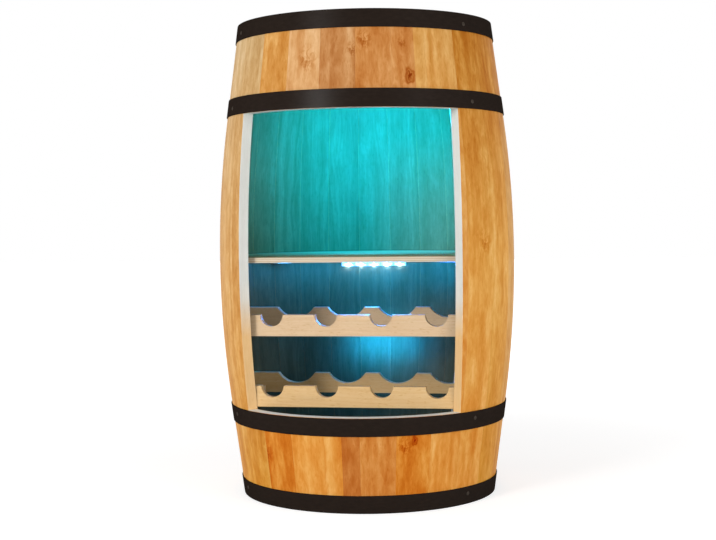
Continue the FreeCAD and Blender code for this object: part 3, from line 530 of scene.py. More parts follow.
def wood_material(name, tone, place, streak, mottle, fleck, roughness, gloss, knots=False):
    """Wood whose grain lies in board coordinates: across, into the board and along it, in millimetres.

    Tone is a colour, or the name of the attribute that holds it. Place is "grain", the attribute that holds
    the board coordinates, or the axes of the object that run across, into and along the board. Streak, mottle
    and fleck are the strengths of the fine lines, the clouds and the short dashes.
    """
    material, tree = new_material(name)
    if place == "grain":
        board = add_node(tree, "ShaderNodeAttribute", attribute_name=place).outputs["Vector"]
    else:
        coordinates = add_node(tree, "ShaderNodeTexCoord").outputs["Object"]
        axes = add_node(tree, "ShaderNodeSeparateXYZ", {0: coordinates})
        turned = add_node(tree, "ShaderNodeCombineXYZ", {number: axes.outputs[axis]
                                                         for number, axis in enumerate(place)})
        scaled = add_node(tree, "ShaderNodeVectorMath", {0: turned, "Scale": 1 / MM}, operation="SCALE")
        board = add_node(tree, "ShaderNodeVectorMath", {0: scaled, 1: BOARD_FROM_PITH}).outputs[0]

    def pattern(size, detail=2.0, roughness=0.5, distortion=0.0):
        # Size is in millimetres across, into and along the board
        stretched = add_node(tree, "ShaderNodeVectorMath", {0: board, 1: [1 / length for length in size]},
                             operation="MULTIPLY")
        return add_node(tree, "ShaderNodeTexNoise", {
            "Vector": stretched, "Scale": 1.0, "Detail": detail, "Roughness": roughness,
            "Distortion": distortion})

    # The pith wanders beside the board by up to 26 mm, so that its rings surface as slow waves and cathedrals
    drift = pattern((70.0, 70.0, 240.0)).outputs["Color"]
    wander = add_node(tree, "ShaderNodeVectorMath", {0: drift, 1: (26.0, 26.0, 0.0), 2: board},
                      operation="MULTIPLY_ADD")
    flat = add_node(tree, "ShaderNodeVectorMath", {0: wander, 1: (1.0, 1.0, 0.0)}, operation="MULTIPLY")
    radius = add_node(tree, "ShaderNodeVectorMath", {0: flat}, operation="LENGTH").outputs["Value"]
    if knots:
        bulge, darkness = knot_marks(tree)
        radius = add_node(tree, "ShaderNodeMath", {0: radius, 1: bulge})
    # Growth rings of about 4 mm, of uneven width
    ring = add_node(tree, "ShaderNodeMath", {0: radius, 1: 1 / 4.0}, operation="MULTIPLY")
    rings = add_node(tree, "ShaderNodeTexNoise", {"W": ring, "Scale": 1.0, "Detail": 3.0, "Roughness": 0.62},
                     noise_dimensions="1D")
    # Fibres are 0.02 mm wide and drawn 1.8 mm wide, so that they show
    fibres = pattern((1.8, 1.8, 34.0), 3.0, 0.6)
    bands = pattern((15.0, 15.0, 700.0), 1.0)
    # The oil soaks in unevenly: clouds, and blotches of 5 to 14 mm drawn out along the grain
    clouds = pattern((22.0, 22.0, 60.0), 3.0, 0.55, 0.5)
    blotches = pattern((7.0, 7.0, 20.0), 3.0, 0.55, 0.8)
    dashes = pattern((1.7, 1.7, 8.0), 1.0, 0.5, 0.4)

    weight = 1.0
    for marks, strength in ((rings, 1.4 * streak), (fibres, streak), (bands, 1.4 * mottle),
                            (clouds, 1.7 * mottle), (blotches, 1.1 * mottle)):
        centred = add_node(tree, "ShaderNodeMath", {0: marks, 1: 0.5}, operation="SUBTRACT")
        weight = add_node(tree, "ShaderNodeMath", {0: centred, 1: strength, 2: weight},
                          operation="MULTIPLY_ADD")
    dash = add_node(tree, "ShaderNodeMapRange", {0: dashes, 1: 0.6, 2: 0.74, 3: 0.0, 4: 1.0})
    weight = add_node(tree, "ShaderNodeMath", {0: dash, 1: fleck, 2: weight}, operation="MULTIPLY_ADD")
    if knots:
        weight = add_node(tree, "ShaderNodeMath", {0: darkness, 1: 0.9, 2: weight}, operation="MULTIPLY_ADD")
    if isinstance(tone, str):
        base = add_node(tree, "ShaderNodeAttribute", attribute_name=tone).outputs["Color"]
    else:
        base = (*tone, 1.0)
    # A darker place in wood is also a browner one, which a power of the tone and some shade give
    power = add_node(tree, "ShaderNodeGamma", {0: base, 1: weight})
    shade = add_node(tree, "ShaderNodeMapRange", {0: weight, 1: 0.5, 2: 2.0, 3: 1.1, 4: 0.7})
    colour = add_node(tree, "ShaderNodeVectorMath", {0: power, "Scale": shade.outputs[0]}, operation="SCALE")
    ring_relief = add_node(tree, "ShaderNodeMath", {0: rings, 1: 0.4}, operation="MULTIPLY")
    relief = add_node(tree, "ShaderNodeMath", {0: fibres, 1: 0.6, 2: ring_relief}, operation="MULTIPLY_ADD")
    bump = add_node(tree, "ShaderNodeBump", {"Strength": 0.35, "Distance": 0.15 * MM, "Height": relief})
    # Open pores are rougher than the wood between them
    pores = add_node(tree, "ShaderNodeMath", {0: fibres, 1: 0.5}, operation="SUBTRACT")
    sheen = add_node(tree, "ShaderNodeMath", {0: pores, 1: 0.25, 2: roughness}, operation="MULTIPLY_ADD")
    shader = add_node(tree, "ShaderNodeBsdfPrincipled", {
        "Base Color": colour, "Roughness": sheen, "IOR": 1.5, "Specular IOR Level": gloss, "Normal": bump})
    add_node(tree, "ShaderNodeOutputMaterial", {0: shader})
    return material


def lacquered_steel(name, colour, sheen, grain=1.0):
    """Steel under thin satin lacquer: nearly black, with mill scale that mottles its faint sheen."""
    material, tree = new_material(name)
    coordinates = add_node(tree, "ShaderNodeTexCoord").outputs["Object"]
    # Mill scale comes in flakes of about 4 by 11 mm, drawn out along the strap
    stretched = add_node(tree, "ShaderNodeVectorMath", {0: coordinates, 1: (90.0, 90.0, 260.0)},
                         operation="MULTIPLY")
    scale = add_node(tree, "ShaderNodeTexNoise", {"Vector": stretched, "Scale": grain, "Detail": 5.0,
                                                  "Roughness": 0.6})
    # Grit of the lacquer, about 0.3 mm, drawn at 1.2 mm
    grit = add_node(tree, "ShaderNodeTexNoise", {"Vector": coordinates, "Scale": 830.0, "Detail": 2.0})
    shade = add_node(tree, "ShaderNodeMapRange", {0: scale, 1: 0.3, 2: 0.7, 3: 1.05, 4: 0.96})
    tone = add_node(tree, "ShaderNodeGamma", {0: (*colour, 1.0), 1: shade})
    roughness = add_node(tree, "ShaderNodeMapRange", {0: scale, 1: 0.3, 2: 0.7, 3: 0.28, 4: 0.36})
    height = add_node(tree, "ShaderNodeMath", {0: scale, 1: 0.7, 2: grit}, operation="MULTIPLY_ADD")
    bump = add_node(tree, "ShaderNodeBump", {"Strength": 0.3, "Distance": 0.12 * MM, "Height": height})
    paint = add_node(tree, "ShaderNodeBsdfPrincipled", {
        "Base Color": tone, "Roughness": roughness, "Specular IOR Level": 0.0, "Normal": bump})
    # The pigment stands proud of the lacquer, so the sheen stays faint at a slant as well
    gloss = add_node(tree, "ShaderNodeBsdfAnisotropic", {
        "Color": grey(1.0), "Roughness": roughness, "Normal": bump})
    finish = add_node(tree, "ShaderNodeMixShader", {0: sheen, 1: paint, 2: gloss})
    add_node(tree, "ShaderNodeOutputMaterial", {0: finish})
    return material


def plated_steel(name, colour, roughness):
    """Zinc-plated steel: pale metal with cloudy passivation and fine turning marks."""
    material, tree = new_material(name)
    coordinates = add_node(tree, "ShaderNodeTexCoord").outputs["Object"]
    # Passivation clouds of about 2 mm
    clouds = add_node(tree, "ShaderNodeTexNoise", {"Vector": coordinates, "Scale": 500.0, "Detail": 3.0})
    power = add_node(tree, "ShaderNodeMapRange", {0: clouds, 1: 0.3, 2: 0.7, 3: 0.85, 4: 1.25})
    tone = add_node(tree, "ShaderNodeGamma", {0: (*colour, 1.0), 1: power})
    rough = add_node(tree, "ShaderNodeMapRange", {0: clouds, 1: 0.3, 2: 0.7, 3: roughness - 0.06,
                                                  4: roughness + 0.08})
    bump = add_node(tree, "ShaderNodeBump", {"Strength": 0.15, "Distance": 0.05 * MM, "Height": clouds})
    shader = add_node(tree, "ShaderNodeBsdfPrincipled", {
        "Base Color": tone, "Metallic": 1.0, "Roughness": rough, "Normal": bump})
    add_node(tree, "ShaderNodeOutputMaterial", {0: shader})
    return material


def moulded_plastic(name, colour, roughness, grain_mm):
    """Moulded plastic: an even colour with the fine spark-eroded grain of the mould."""
    material, tree = new_material(name)
    coordinates = add_node(tree, "ShaderNodeTexCoord").outputs["Object"]
    grain = add_node(tree, "ShaderNodeTexNoise", {"Vector": coordinates, "Scale": 1 / (grain_mm * MM),
                                                  "Detail": 2.0})
    haze = add_node(tree, "ShaderNodeTexNoise", {"Vector": coordinates, "Scale": 120.0, "Detail": 2.0})
    power = add_node(tree, "ShaderNodeMapRange", {0: haze, 1: 0.3, 2: 0.7, 3: 0.95, 4: 1.06})
    tone = add_node(tree, "ShaderNodeGamma", {0: (*colour, 1.0), 1: power})
    rough = add_node(tree, "ShaderNodeMapRange", {0: haze, 1: 0.3, 2: 0.7, 3: roughness - 0.05,
                                                  4: roughness + 0.05})
    bump = add_node(tree, "ShaderNodeBump", {"Strength": 0.25, "Distance": 0.06 * MM, "Height": grain})
    shader = add_node(tree, "ShaderNodeBsdfPrincipled", {
        "Base Color": tone, "Roughness": rough, "IOR": 1.53, "Normal": bump})
    add_node(tree, "ShaderNodeOutputMaterial", {0: shader})
    return material


# Staves

def stave_outline(low, high):
    """Closed section of a stave between two heights, up the outside and down the inside."""
    levels = {low, high, *CROZE_LEVELS}
    levels |= {level for end in (RIM_BEVEL_HEIGHT, *END_LEVELS) for level in (end, HEIGHT - end)}
    count = round((WINDOW_TOP - WINDOW_BOTTOM) / SECTION_STEP)
    levels |= {WINDOW_BOTTOM + (WINDOW_TOP - WINDOW_BOTTOM) * step / count for step in range(count + 1)}
    levels = sorted(level for level in levels if low <= level <= high)
    groove = STAVE_THICKNESS - CROZE_DEPTH
    inside = []
    for level in reversed(levels):
        if level in (0.0, HEIGHT):
            inside.append((level, RIM_LAND))
        elif level in (CROZE_LEVELS[3], CROZE_LEVELS[1]):
            inside += [(level, STAVE_THICKNESS), (level, groove)]
        elif level in (CROZE_LEVELS[2], CROZE_LEVELS[0]):
            inside += [(level, groove), (level, STAVE_THICKNESS)]
        else:
            inside.append((level, STAVE_THICKNESS))
    return [(level, 0.0) for level in levels] + inside


def sweep(mesh, outline, columns, capped):
    """Sweep a closed outline through columns, each a function that gives the turn at a height."""
    rows = [[mesh.verts.new(wall_point(column(height), height, depth)) for height, depth in outline]
            for column in columns]
    for near, far in zip(rows, rows[1:]):
        for here in range(len(outline)):
            there = (here + 1) % len(outline)
            mesh.faces.new((near[here], near[there], far[there], far[here]))
    for row, closed in zip((rows[0], rows[-1]), capped):
        if closed:
            mesh.faces.new(row)
    return rows


def even_columns(first, last, count):
    turns = [first + (last - first) * step / count for step in range(count + 1)]
    return [lambda height, turn=turn: turn for turn in turns]


def whole_stave(mesh, first, last, low=0.0, high=HEIGHT):
    sweep(mesh, stave_outline(low, high), even_columns(first, last, STAVE_COLUMNS), (True, True))


def notched_stave(mesh, side, far, near):
    """Stave beside the window: whole up to the saw cut, and beyond it only above and below the window."""
    def cut(height):
        return side * window_half_angle(height)

    outline = stave_outline(0.0, HEIGHT)
    rows = sweep(mesh, outline, [lambda height: far, cut], (True, False))
    edge = {place: vertex for place, vertex in zip(outline, rows[-1])}
    levels = [height for height, depth in outline if depth == 0.0 and WINDOW_BOTTOM <= height <= WINDOW_TOP]
    for low, high in zip(levels, levels[1:]):
        mesh.faces.new((edge[low, 0.0], edge[high, 0.0],
                        edge[high, STAVE_THICKNESS], edge[low, STAVE_THICKNESS]))
    columns = even_columns(side * WINDOW_HALF_ANGLE_AT_ENDS, near, STAVE_COLUMNS)
    for low, high in ((0.0, WINDOW_BOTTOM), (WINDOW_TOP, HEIGHT)):
        sweep(mesh, stave_outline(low, high), columns, (False, True))


def place_of(point):
    """Turn, height and depth of a point of the wall."""
    height = point.z / MM
    radius = math.hypot(point.x, point.y) / MM
    return math.degrees(math.atan2(point.x, -point.y)), height, wall_radius(height) - radius


def tag_faces(mesh):
    """Tell the inner wall, darkened as painted shade, and the sawn sides, sill and lintel of the window, from
    the outside.
    """
    for face in mesh.faces:
        turn, height, depth = place_of(face.calc_center_median())
        out = Vector((math.sin(math.radians(turn)), -math.cos(math.radians(turn)), 0.0))
        outward = face.normal.dot(out)
        steepness = abs(face.normal.z)
        at_side = abs(abs(turn) - window_half_angle(height)) < SAWN_TOLERANCE
        in_window = WINDOW_BOTTOM - NEAR < height < WINDOW_TOP + NEAR
        at_sill = min(abs(height - WINDOW_BOTTOM), abs(height - WINDOW_TOP)) < NEAR
        inner = outward < -0.5 and depth > STAVE_THICKNESS - CROZE_DEPTH - NEAR
        if steepness > 0.9 and at_sill:
            face.material_index = SAWN
        elif steepness < 0.5 and abs(outward) < 0.5 and in_window and at_side:
            face.material_index = SAWN
        elif inner and abs(height - MIDDLE) < SHADED_INSIDE_REACH:
            face.material_index = SHADED_INSIDE


def weigh_edges(mesh, joint_share):
    """Joint edges are rounded less than the rims and the sawn edges of the window."""
    weights = mesh.edges.layers.float.new("bevel_weight_edge")
    for edge in mesh.edges:
        if len(edge.link_faces) != 2 or edge.calc_face_angle(0.0) < CREASE:
            continue
        (turn_a, height_a), (turn_b, height_b) = (place_of(vertex.co)[:2] for vertex in edge.verts)
        round_barrel = abs(turn_a - turn_b) > SAME_TURN
        along = abs(height_a - height_b) > SAME_HEIGHT
        at_cut = abs(abs(turn_a) - window_half_angle(height_a)) < SAME_TURN
        above_sill = min(height_a, height_b) > WINDOW_BOTTOM - SAME_HEIGHT
        below_lintel = max(height_a, height_b) < WINDOW_TOP + SAME_HEIGHT
        full = round_barrel or (along and at_cut and above_sill and below_lintel)
        edge[weights] = 1.0 if full else joint_share


def blend(stops, share):
    """Colour with alpha at a share of the way through evenly spread colours."""
    place = min(1.0, max(0.0, share)) * (len(stops) - 1)
    before = min(int(place), max(0, len(stops) - 2))
    after = min(before + 1, len(stops) - 1)
    return [low + (high - low) * (place - before) for low, high in zip(stops[before], stops[after])] + [1.0]


def mark_board(data, name, middle, draw, wood):
    """Store the board coordinates, the knot, the smudge and the tones of a stave in its mesh."""
    pith_across = draw.choice((-1, 1)) * draw.uniform(*PITH_ASIDE)
    pith_depth = draw.uniform(*PITH_BELOW)
    start = draw.uniform(0.0, LOG_LENGTH)
    tones = STAVE_TONES.get(name) or (draw.choice(OTHER_TONES),)
    split = SPLITS.get(name)
    spots = {"knot": KNOTS.get(name), "smudge": SMUDGES.get(name)}
    vectors = {"grain": [], "knot": [], "smudge": []}
    for vertex in data.vertices:
        turn, height, depth = place_of(vertex.co)
        radius = wall_radius(height, depth)
        across = math.radians(turn_from(turn, middle)) * radius
        vectors["grain"] += [across - pith_across, depth + pith_depth, height + start]
        for kind, spot in spots.items():
            if spot:
                across = math.radians(turn_from(turn, spot[0])) * radius
                vectors[kind] += [length / spot[2] / stretch for length, stretch in
                                  zip((across, depth, height - spot[1]), SPOT_STRETCH)]
            else:
                vectors[kind] += NO_SPOT
    for kind, values in vectors.items():
        data.attributes.new(kind, "FLOAT_VECTOR", "POINT").data.foreach_set("vector", values)
    stops = [getattr(wood, tone) for tone in tones]
    sawn_stops_with_painted_light = [wood.window_edge_low_brightened, wood.window_edge_painted_led_light]
    colours = []
    for polygon in data.polygons:
        turn = place_of(polygon.center)[0]
        for corner in polygon.vertices:
            share = data.vertices[corner].co.z / MM / HEIGHT
            # Sawn faces turn from the low tone to the near-white of painted LED light between the SAWN_CHANGE
            # heights; faces looking up, the sill, take that painted light whole
            if polygon.material_index == SAWN:
                share = (share * HEIGHT - SAWN_CHANGE[0]) / (SAWN_CHANGE[1] - SAWN_CHANGE[0])
                if polygon.normal.z > 0.5:
                    share = 1.0
                colours += blend(sawn_stops_with_painted_light, share)
            elif split is None:
                colours += blend(stops, share)
            else:
                colours += blend(stops, float(turn > split))
    data.attributes.new("tone", "FLOAT_COLOR", "CORNER").data.foreach_set("color", colours)


def stave_materials(wood):
    """Oiled alder outside, alder darkened as painted shade inside, and sawn alder round the window."""
    # Alder wiped with hard-wax oil: warm and satin, with faint rings, short flecks and orange clouds
    oiled = wood_material("Oiled alder", "tone", "grain", streak=0.1, mottle=0.48, fleck=0.13, roughness=0.45,
                          gloss=0.03, knots=True)
    # Alder darkened to a dull brown as painted shade, so that little studio light shows inside; matt, so it
    # takes the colour of the LED light
    shaded_inside_alder = wood_material("Toasted alder", wood.inside, "grain", streak=0.15, mottle=0.12, fleck=0.08,
                            roughness=0.68, gloss=0.12)
    # Alder as the saw left it: raw and warm below the racks, and nearly white above them and on the sill,
    # where LED light is painted into its colour
    sawn = wood_material("Sawn alder", "tone", "grain", streak=0.2, mottle=0.15, fleck=0.1, roughness=0.7,
                         gloss=0.2)
    return [oiled, shaded_inside_alder, sawn]


def stave_layout():
    """Name, first and last turn, lower and upper end of each stave. Notched ones have no ends."""
    layout = []
    whole = 0
    for number in range(STAVE_COUNT):
        first = turn_from(FIRST_JOINT + number * STAVE_STEP, 0.0)
        last = first + STAVE_STEP
        if abs(first + STAVE_STEP / 2) - STAVE_STEP / 2 > WINDOW_HALF_ANGLE_AT_ENDS:
            whole += 1
            layout.append((f"stave_{whole:02d}", first, last, 0.0, HEIGHT))
        elif last > WINDOW_HALF_ANGLE_AT_ENDS:
            layout.append(("window_side_stave_right", first, last, None, None))
        elif first < -WINDOW_HALF_ANGLE_AT_ENDS:
            layout.append(("window_side_stave_left", first, last, None, None))
        else:
            short = FIRST_JOINT_SHORT_STAVE + round((first - FIRST_JOINT) / STAVE_STEP)
            layout.append((f"header_stave_{short}", first, last, WINDOW_TOP, HEIGHT))
            layout.append((f"apron_stave_{short}", first, last, 0.0, WINDOW_BOTTOM))
    return layout


def build_staves(wood):
    draw = random.Random(SEED)
    materials = stave_materials(wood)
    for name, first, last, low, high in stave_layout():
        mesh = bmesh.new()
        if low is None and first > 0:
            notched_stave(mesh, 1, last, first)
        elif low is None:
            notched_stave(mesh, -1, first, last)
        else:
            whole_stave(mesh, first, last, low, high)
        close_mesh(mesh)
        tag_faces(mesh)
        weigh_edges(mesh, wood.joint_softness / wood.window_softness)
        piece = add_piece(name + "_board", mesh, CABINET, materials, name)
        mark_board(piece.data, name, (first + last) / 2, draw, wood)
        soften(piece, wood.window_softness, "WEIGHT")


# Hoops and their fasteners

def hoop_lift(turn, start, ramp):
    """How far a hoop stands off the wood: its tail climbs over its start and laps it."""
    climb = min(1.0, max(0.0, (turn - (start + 360 - ramp)) / ramp))
    return (HOOP_THICKNESS + HOOP_LAP_GAP) * climb * climb * (3 - 2 * climb)


def build_hoops(metal):
    # Strap steel, hot rolled, blackened and lacquered: satin black-brown with broad soft highlights
    material = lacquered_steel("Lacquered strap steel", metal.hoop, 0.006)
    draw = random.Random(SEED + 1)
    for name, low, _ in HOOPS:
        lap = turn_span(HOOP_LAP_LENGTH, low)
        ramp = turn_span(HOOP_RAMP_LENGTH, low)
        start = stave_turn(LAP_STAVE) - lap / 2
        count = round((360 + lap) / HOOP_FACET)
        phases = [draw.uniform(0, 2 * math.pi) for _ in WAVES]
        levels = [low, low + HOOP_WIDTH / 2, low + HOOP_WIDTH]
        mesh = bmesh.new()
        rows = []
        for step in range(count + 1):
            turn = start + (360 + lap) * step / count
            lift = hoop_lift(turn, start, ramp)
            close = step < count * CLOSE_SHARE or step > count * (1 - CLOSE_SHARE)
            row = []
            for depth, side_levels in ((-HOOP_GAP, levels), (-HOOP_GAP - HOOP_THICKNESS, levels[::-1])):
                for level in side_levels:
                    wave = sum(math.sin(waves * math.radians(turn) + phase + level / WAVE_LEAN)
                               for waves, phase in zip(WAVES, phases)) / len(WAVES)
                    stand_off = 0.0 if close else metal.waviness / MM * (0.5 + 0.5 * wave)
                    row.append(mesh.verts.new(wall_point(turn, level, depth - lift - stand_off)))
            rows.append(row)
        for near, far in zip(rows, rows[1:]):
            for here in range(len(near)):
                there = (here + 1) % len(near)
                mesh.faces.new((near[here], near[there], far[there], far[here]))
        mesh.faces.new(rows[0])
        mesh.faces.new(rows[-1])
        close_mesh(mesh)
        piece = add_piece(name + "_strap", mesh, CABINET, [material], name)
        soften(piece, metal.edge_softness, angle=50.0)


def lathe(mesh, outline, place, wobble, phase, segments=24):
    """Turn an outline of (out of the wall, radius) about the X axis of a place.

    It starts and ends at radius 0. Wobble is the share of the radius by which hammering put it out of round.
    """
    rings = []
    for out, radius in outline:
        if radius == 0.0:
            rings.append([mesh.verts.new(place @ Vector((out * MM, 0.0, 0.0)))])
            continue
        ring = []
        for step in range(segments):
            angle = 2 * math.pi * step / segments
            reach = radius * (1 + wobble * math.sin(3 * angle + out * 5 + phase)) * MM
            ring.append(mesh.verts.new(place @ Vector((out * MM, reach * math.cos(angle),
                                                       reach * math.sin(angle)))))
        rings.append(ring)
    for first, second in zip(rings, rings[1:]):
        for step in range(segments):
            corners = []
            for ring, steps in ((first, (step, step + 1)), (second, (step + 1, step))):
                for number in steps:
                    vertex = ring[number % len(ring)]
                    if vertex not in corners:
                        corners.append(vertex)
            if len(corners) > 2:
                mesh.faces.new(corners)


def domed_pin(head_radius, head_height, shank_radius, length):
    """Outline of a nail or rivet with a low domed head, whose rim curls in a little to the strap."""
    dome = [(head_height * math.cos(angle) ** 0.8, head_radius * math.sin(angle))
            for angle in map(math.radians, DOME_STEPS)]
    rim = [(head_height * 0.12, head_radius), (0.0, head_radius * 0.985)]
    shank = [(0.0, shank_radius), (PIN_TIP - length, shank_radius), (-length, 0.0)]
    return dome + rim + shank


def build_fasteners(metal):
    # Black-brown steel, hammered: domed heads a little paler than the strap
    material = lacquered_steel("Hammered fastener steel", metal.fastener, 0.008, grain=3.0)
    draw = random.Random(SEED + 2)
    nails = bmesh.new()
    rivets = bmesh.new()
    nail = domed_pin(NAIL_HEAD_RADIUS, NAIL_HEAD_HEIGHT, NAIL_SHANK_RADIUS, NAIL_LENGTH)
    rivet = domed_pin(RIVET_HEAD_RADIUS, RIVET_HEAD_HEIGHT, RIVET_SHANK_RADIUS, 2 * HOOP_THICKNESS + HOOP_GAP)
    for _, low, side in HOOPS:
        middle = low + HOOP_WIDTH / 2
        for number in NAIL_STAVES:
            level = middle + side * NAIL_OFFSET
            place = wall_frame(stave_turn(number), level, -HOOP_THICKNESS - 2 * HOOP_GAP)
            lathe(nails, nail, place, wobble=0.03, phase=draw.uniform(0, 6))
        half = turn_span(RIVET_SPACING / 2, middle)
        for turn in (stave_turn(LAP_STAVE) - half, stave_turn(LAP_STAVE) + half):
            place = wall_frame(turn, middle, -2 * HOOP_THICKNESS - 2 * HOOP_GAP)
            lathe(rivets, rivet, place, wobble=0.02, phase=draw.uniform(0, 6))
    close_mesh(nails)
    close_mesh(rivets)
    add_piece("hoop_nail_set", nails, CABINET, [material], "hoop_nails")
    add_piece("hoop_rivet_set", rivets, CABINET, [material], "hoop_rivets")


# Heads, shelf, racks and screws

def build_heads(wood):
    # The same oiled alder as the staves, in boards that run from front to back and differ a little in tone
    alders = {tone: wood_material("Oiled alder, " + tone, getattr(wood, tone), "XZY", streak=0.2, mottle=0.35,
                                  fleck=0.16, roughness=0.45, gloss=0.25)
              for tone in dict.fromkeys(HEAD_TONES)}
    for number, tone in enumerate(HEAD_TONES, 1):
        finish_node(f"top_head_board_{number}", alders[tone], softness=0.6)
    finish_node("bottom_head_boards", alders[HEAD_TONES[0]], softness=0.6)
    # Beech, turned: pale pinkish dowels with close short flecks
    beech = wood_material("Turned beech", wood.rail_upper, "YZX", streak=0.2, mottle=0.08, fleck=0.3,
                          roughness=0.5, gloss=0.4)
    finish_node("head_dowels", beech, softness=0.4)


def plywood(name, tone):
    """Birch plywood: a creamy rotary-cut face, and plies of 1.5 mm on the edge, every other one end grain."""
    material = wood_material(name, tone, "YZX", streak=0.3, mottle=0.2, fleck=0.12, roughness=0.5, gloss=0.4)
    tree = material.node_tree
    shader = next(node for node in tree.nodes if node.type == "BSDF_PRINCIPLED")
    face_colour = shader.inputs["Base Color"].links[0].from_socket
    coordinates = add_node(tree, "ShaderNodeTexCoord")
    axes = add_node(tree, "ShaderNodeSeparateXYZ", {0: coordinates.outputs["Object"]})
    pairs = add_node(tree, "ShaderNodeMath", {0: axes.outputs["Z"], 1: 1 / (2 * PLY_THICKNESS * MM)},
                     operation="MULTIPLY")
    within_pair = add_node(tree, "ShaderNodeMath", {0: pairs}, operation="FRACT")
    pale, dull = linear(PLY_LONG_GRAIN), linear(PLY_END_GRAIN)
    plies = add_node(tree, "ShaderNodeValToRGB", {0: within_pair}, stops=(
        (0.0, pale), (0.46, pale), (0.54, dull), (0.96, dull), (1.0, pale)))
    facing = add_node(tree, "ShaderNodeSeparateXYZ", {0: coordinates.outputs["Normal"]})
    levelness = add_node(tree, "ShaderNodeMath", {0: facing.outputs["Z"]}, operation="ABSOLUTE")
    on_face = add_node(tree, "ShaderNodeMath", {0: levelness, 1: 0.7}, operation="GREATER_THAN")
    veneer = add_node(tree, "ShaderNodeMix", {0: on_face, 6: plies, 7: face_colour}, data_type="RGBA")
    tree.links.new(veneer.outputs[2], shader.inputs["Base Color"])
    return material


def build_shelf(wood):
    finish_node("shelf", plywood("Birch plywood", wood.plywood), softness=0.5)


def build_racks(wood):
    # Steamed beech, planed: pinkish cream with fine flecks along the grain; the lower rack's copy is warmer
    # and brighter, painted light that makes up for the shade there
    for level, tone in (("upper", wood.rail_upper), ("lower", wood.rail_lower_painted_light)):
        beech = wood_material(f"Planed beech of the {level} rack", tone, "YZX", streak=0.2, mottle=0.12,
                              fleck=0.22, roughness=0.5, gloss=0.4)
        for side in ("front", "rear"):
            finish_node(f"{side}_rail_{level}", beech, softness=0.6)
        if level == "upper":
            finish_node("support_blocks", beech, softness=0.5)


def build_screws(metal):
    # Steel, zinc plated: pale grey metal with a cloudy, slightly blue passivation
    material = plated_steel("Zinc-plated steel", metal.screw, roughness=0.34)
    finish_node("wood_screws", material, softness=0.15)
    finish_node("small_screws", material, softness=0.1)


# LED tapes, controller and power

def glare(colour):
    """Light so bright that it looks nearly white."""
    return [channel + (1 - channel) * GLARE for channel in colour]


def led_lens(name, colour, glow):
    """Silicone over the dice of an LED chip: glossy and yellowish, and it glows as its light does."""
    material, tree = new_material(name)
    coordinates = add_node(tree, "ShaderNodeTexCoord").outputs["Object"]
    dice = add_node(tree, "ShaderNodeTexNoise", {"Vector": coordinates, "Scale": 900.0, "Detail": 1.0})
    tone = add_node(tree, "ShaderNodeValToRGB", {0: dice}, stops=zip((0.35, 0.65), map(linear, LENS_TONES)))
    shader = add_node(tree, "ShaderNodeBsdfPrincipled", {
        "Base Color": tone, "Roughness": 0.15, "IOR": 1.41, "Emission Color": (*glare(colour), 1.0),
        "Emission Strength": glow})
    add_node(tree, "ShaderNodeOutputMaterial", {0: shader})
    return material


def flexible_circuit(name, colour):
    """Polyimide tape under white solder mask, with bare copper pads each 25 mm where it may be cut."""
    material, tree = new_material(name)
    along = add_node(tree, "ShaderNodeAttribute", attribute_name="tape").outputs["Vector"]
    axes = add_node(tree, "ShaderNodeSeparateXYZ", {0: along})
    # Pads are 3.2 mm wide and 1.7 mm high, in rows of 2.6 mm at the middle between two chips
    step = add_node(tree, "ShaderNodeMath", {0: axes.outputs["X"], 1: CHIP_PITCH}, operation="MODULO")
    near = add_node(tree, "ShaderNodeMath", {0: step, 1: CHIP_PITCH / 2, 2: 1.6}, operation="COMPARE")
    row = add_node(tree, "ShaderNodeMath", {0: axes.outputs["Y"], 1: 2.6}, operation="PINGPONG")
    high = add_node(tree, "ShaderNodeMath", {0: row, 1: 1.3, 2: 0.85}, operation="COMPARE")
    pad = add_node(tree, "ShaderNodeMath", {0: near, 1: high}, operation="MULTIPLY")
    haze = add_node(tree, "ShaderNodeTexNoise", {"Vector": along, "Scale": 0.4, "Detail": 2.0})
    power = add_node(tree, "ShaderNodeMapRange", {0: haze, 1: 0.3, 2: 0.7, 3: 0.9, 4: 1.15})
    mask = add_node(tree, "ShaderNodeGamma", {0: (*colour, 1.0), 1: power})
    tone = add_node(tree, "ShaderNodeMix", {0: pad, 6: mask, 7: linear(PAD_COPPER)}, data_type="RGBA")
    shader = add_node(tree, "ShaderNodeBsdfPrincipled", {
        "Base Color": tone.outputs[2], "Metallic": pad, "Roughness": 0.38})
    add_node(tree, "ShaderNodeOutputMaterial", {0: shader})
    return material


def add_lamp(name, kind, power, colour, place, **settings):
    """Lamp that shines along the -Z of its place."""
    lamp = bpy.data.lights.new(name, kind)
    lamp.energy = power
    lamp.color = colour
    for setting, value in settings.items():
        setattr(lamp, setting, value)
    source = bpy.data.objects.new(name, lamp)
    source.matrix_world = place
    bpy.context.scene.collection.objects.link(source)
    return source


def tape_strip(mesh, turn, height, chips):
    """The tape itself, along the inner wall."""
    half = turn_span(CHIP_PITCH * chips / 2, height, STAVE_THICKNESS)
    low, high = height - TAPE_WIDTH / 2, height + TAPE_WIDTH / 2
    back = STAVE_THICKNESS + PART_GAP
    front = back + TAPE_THICKNESS
    outline = ((low, back), (high, back), (high, front), (low, front))
    sweep(mesh, outline, even_columns(turn - half, turn + half, 4 * chips), (True, True))


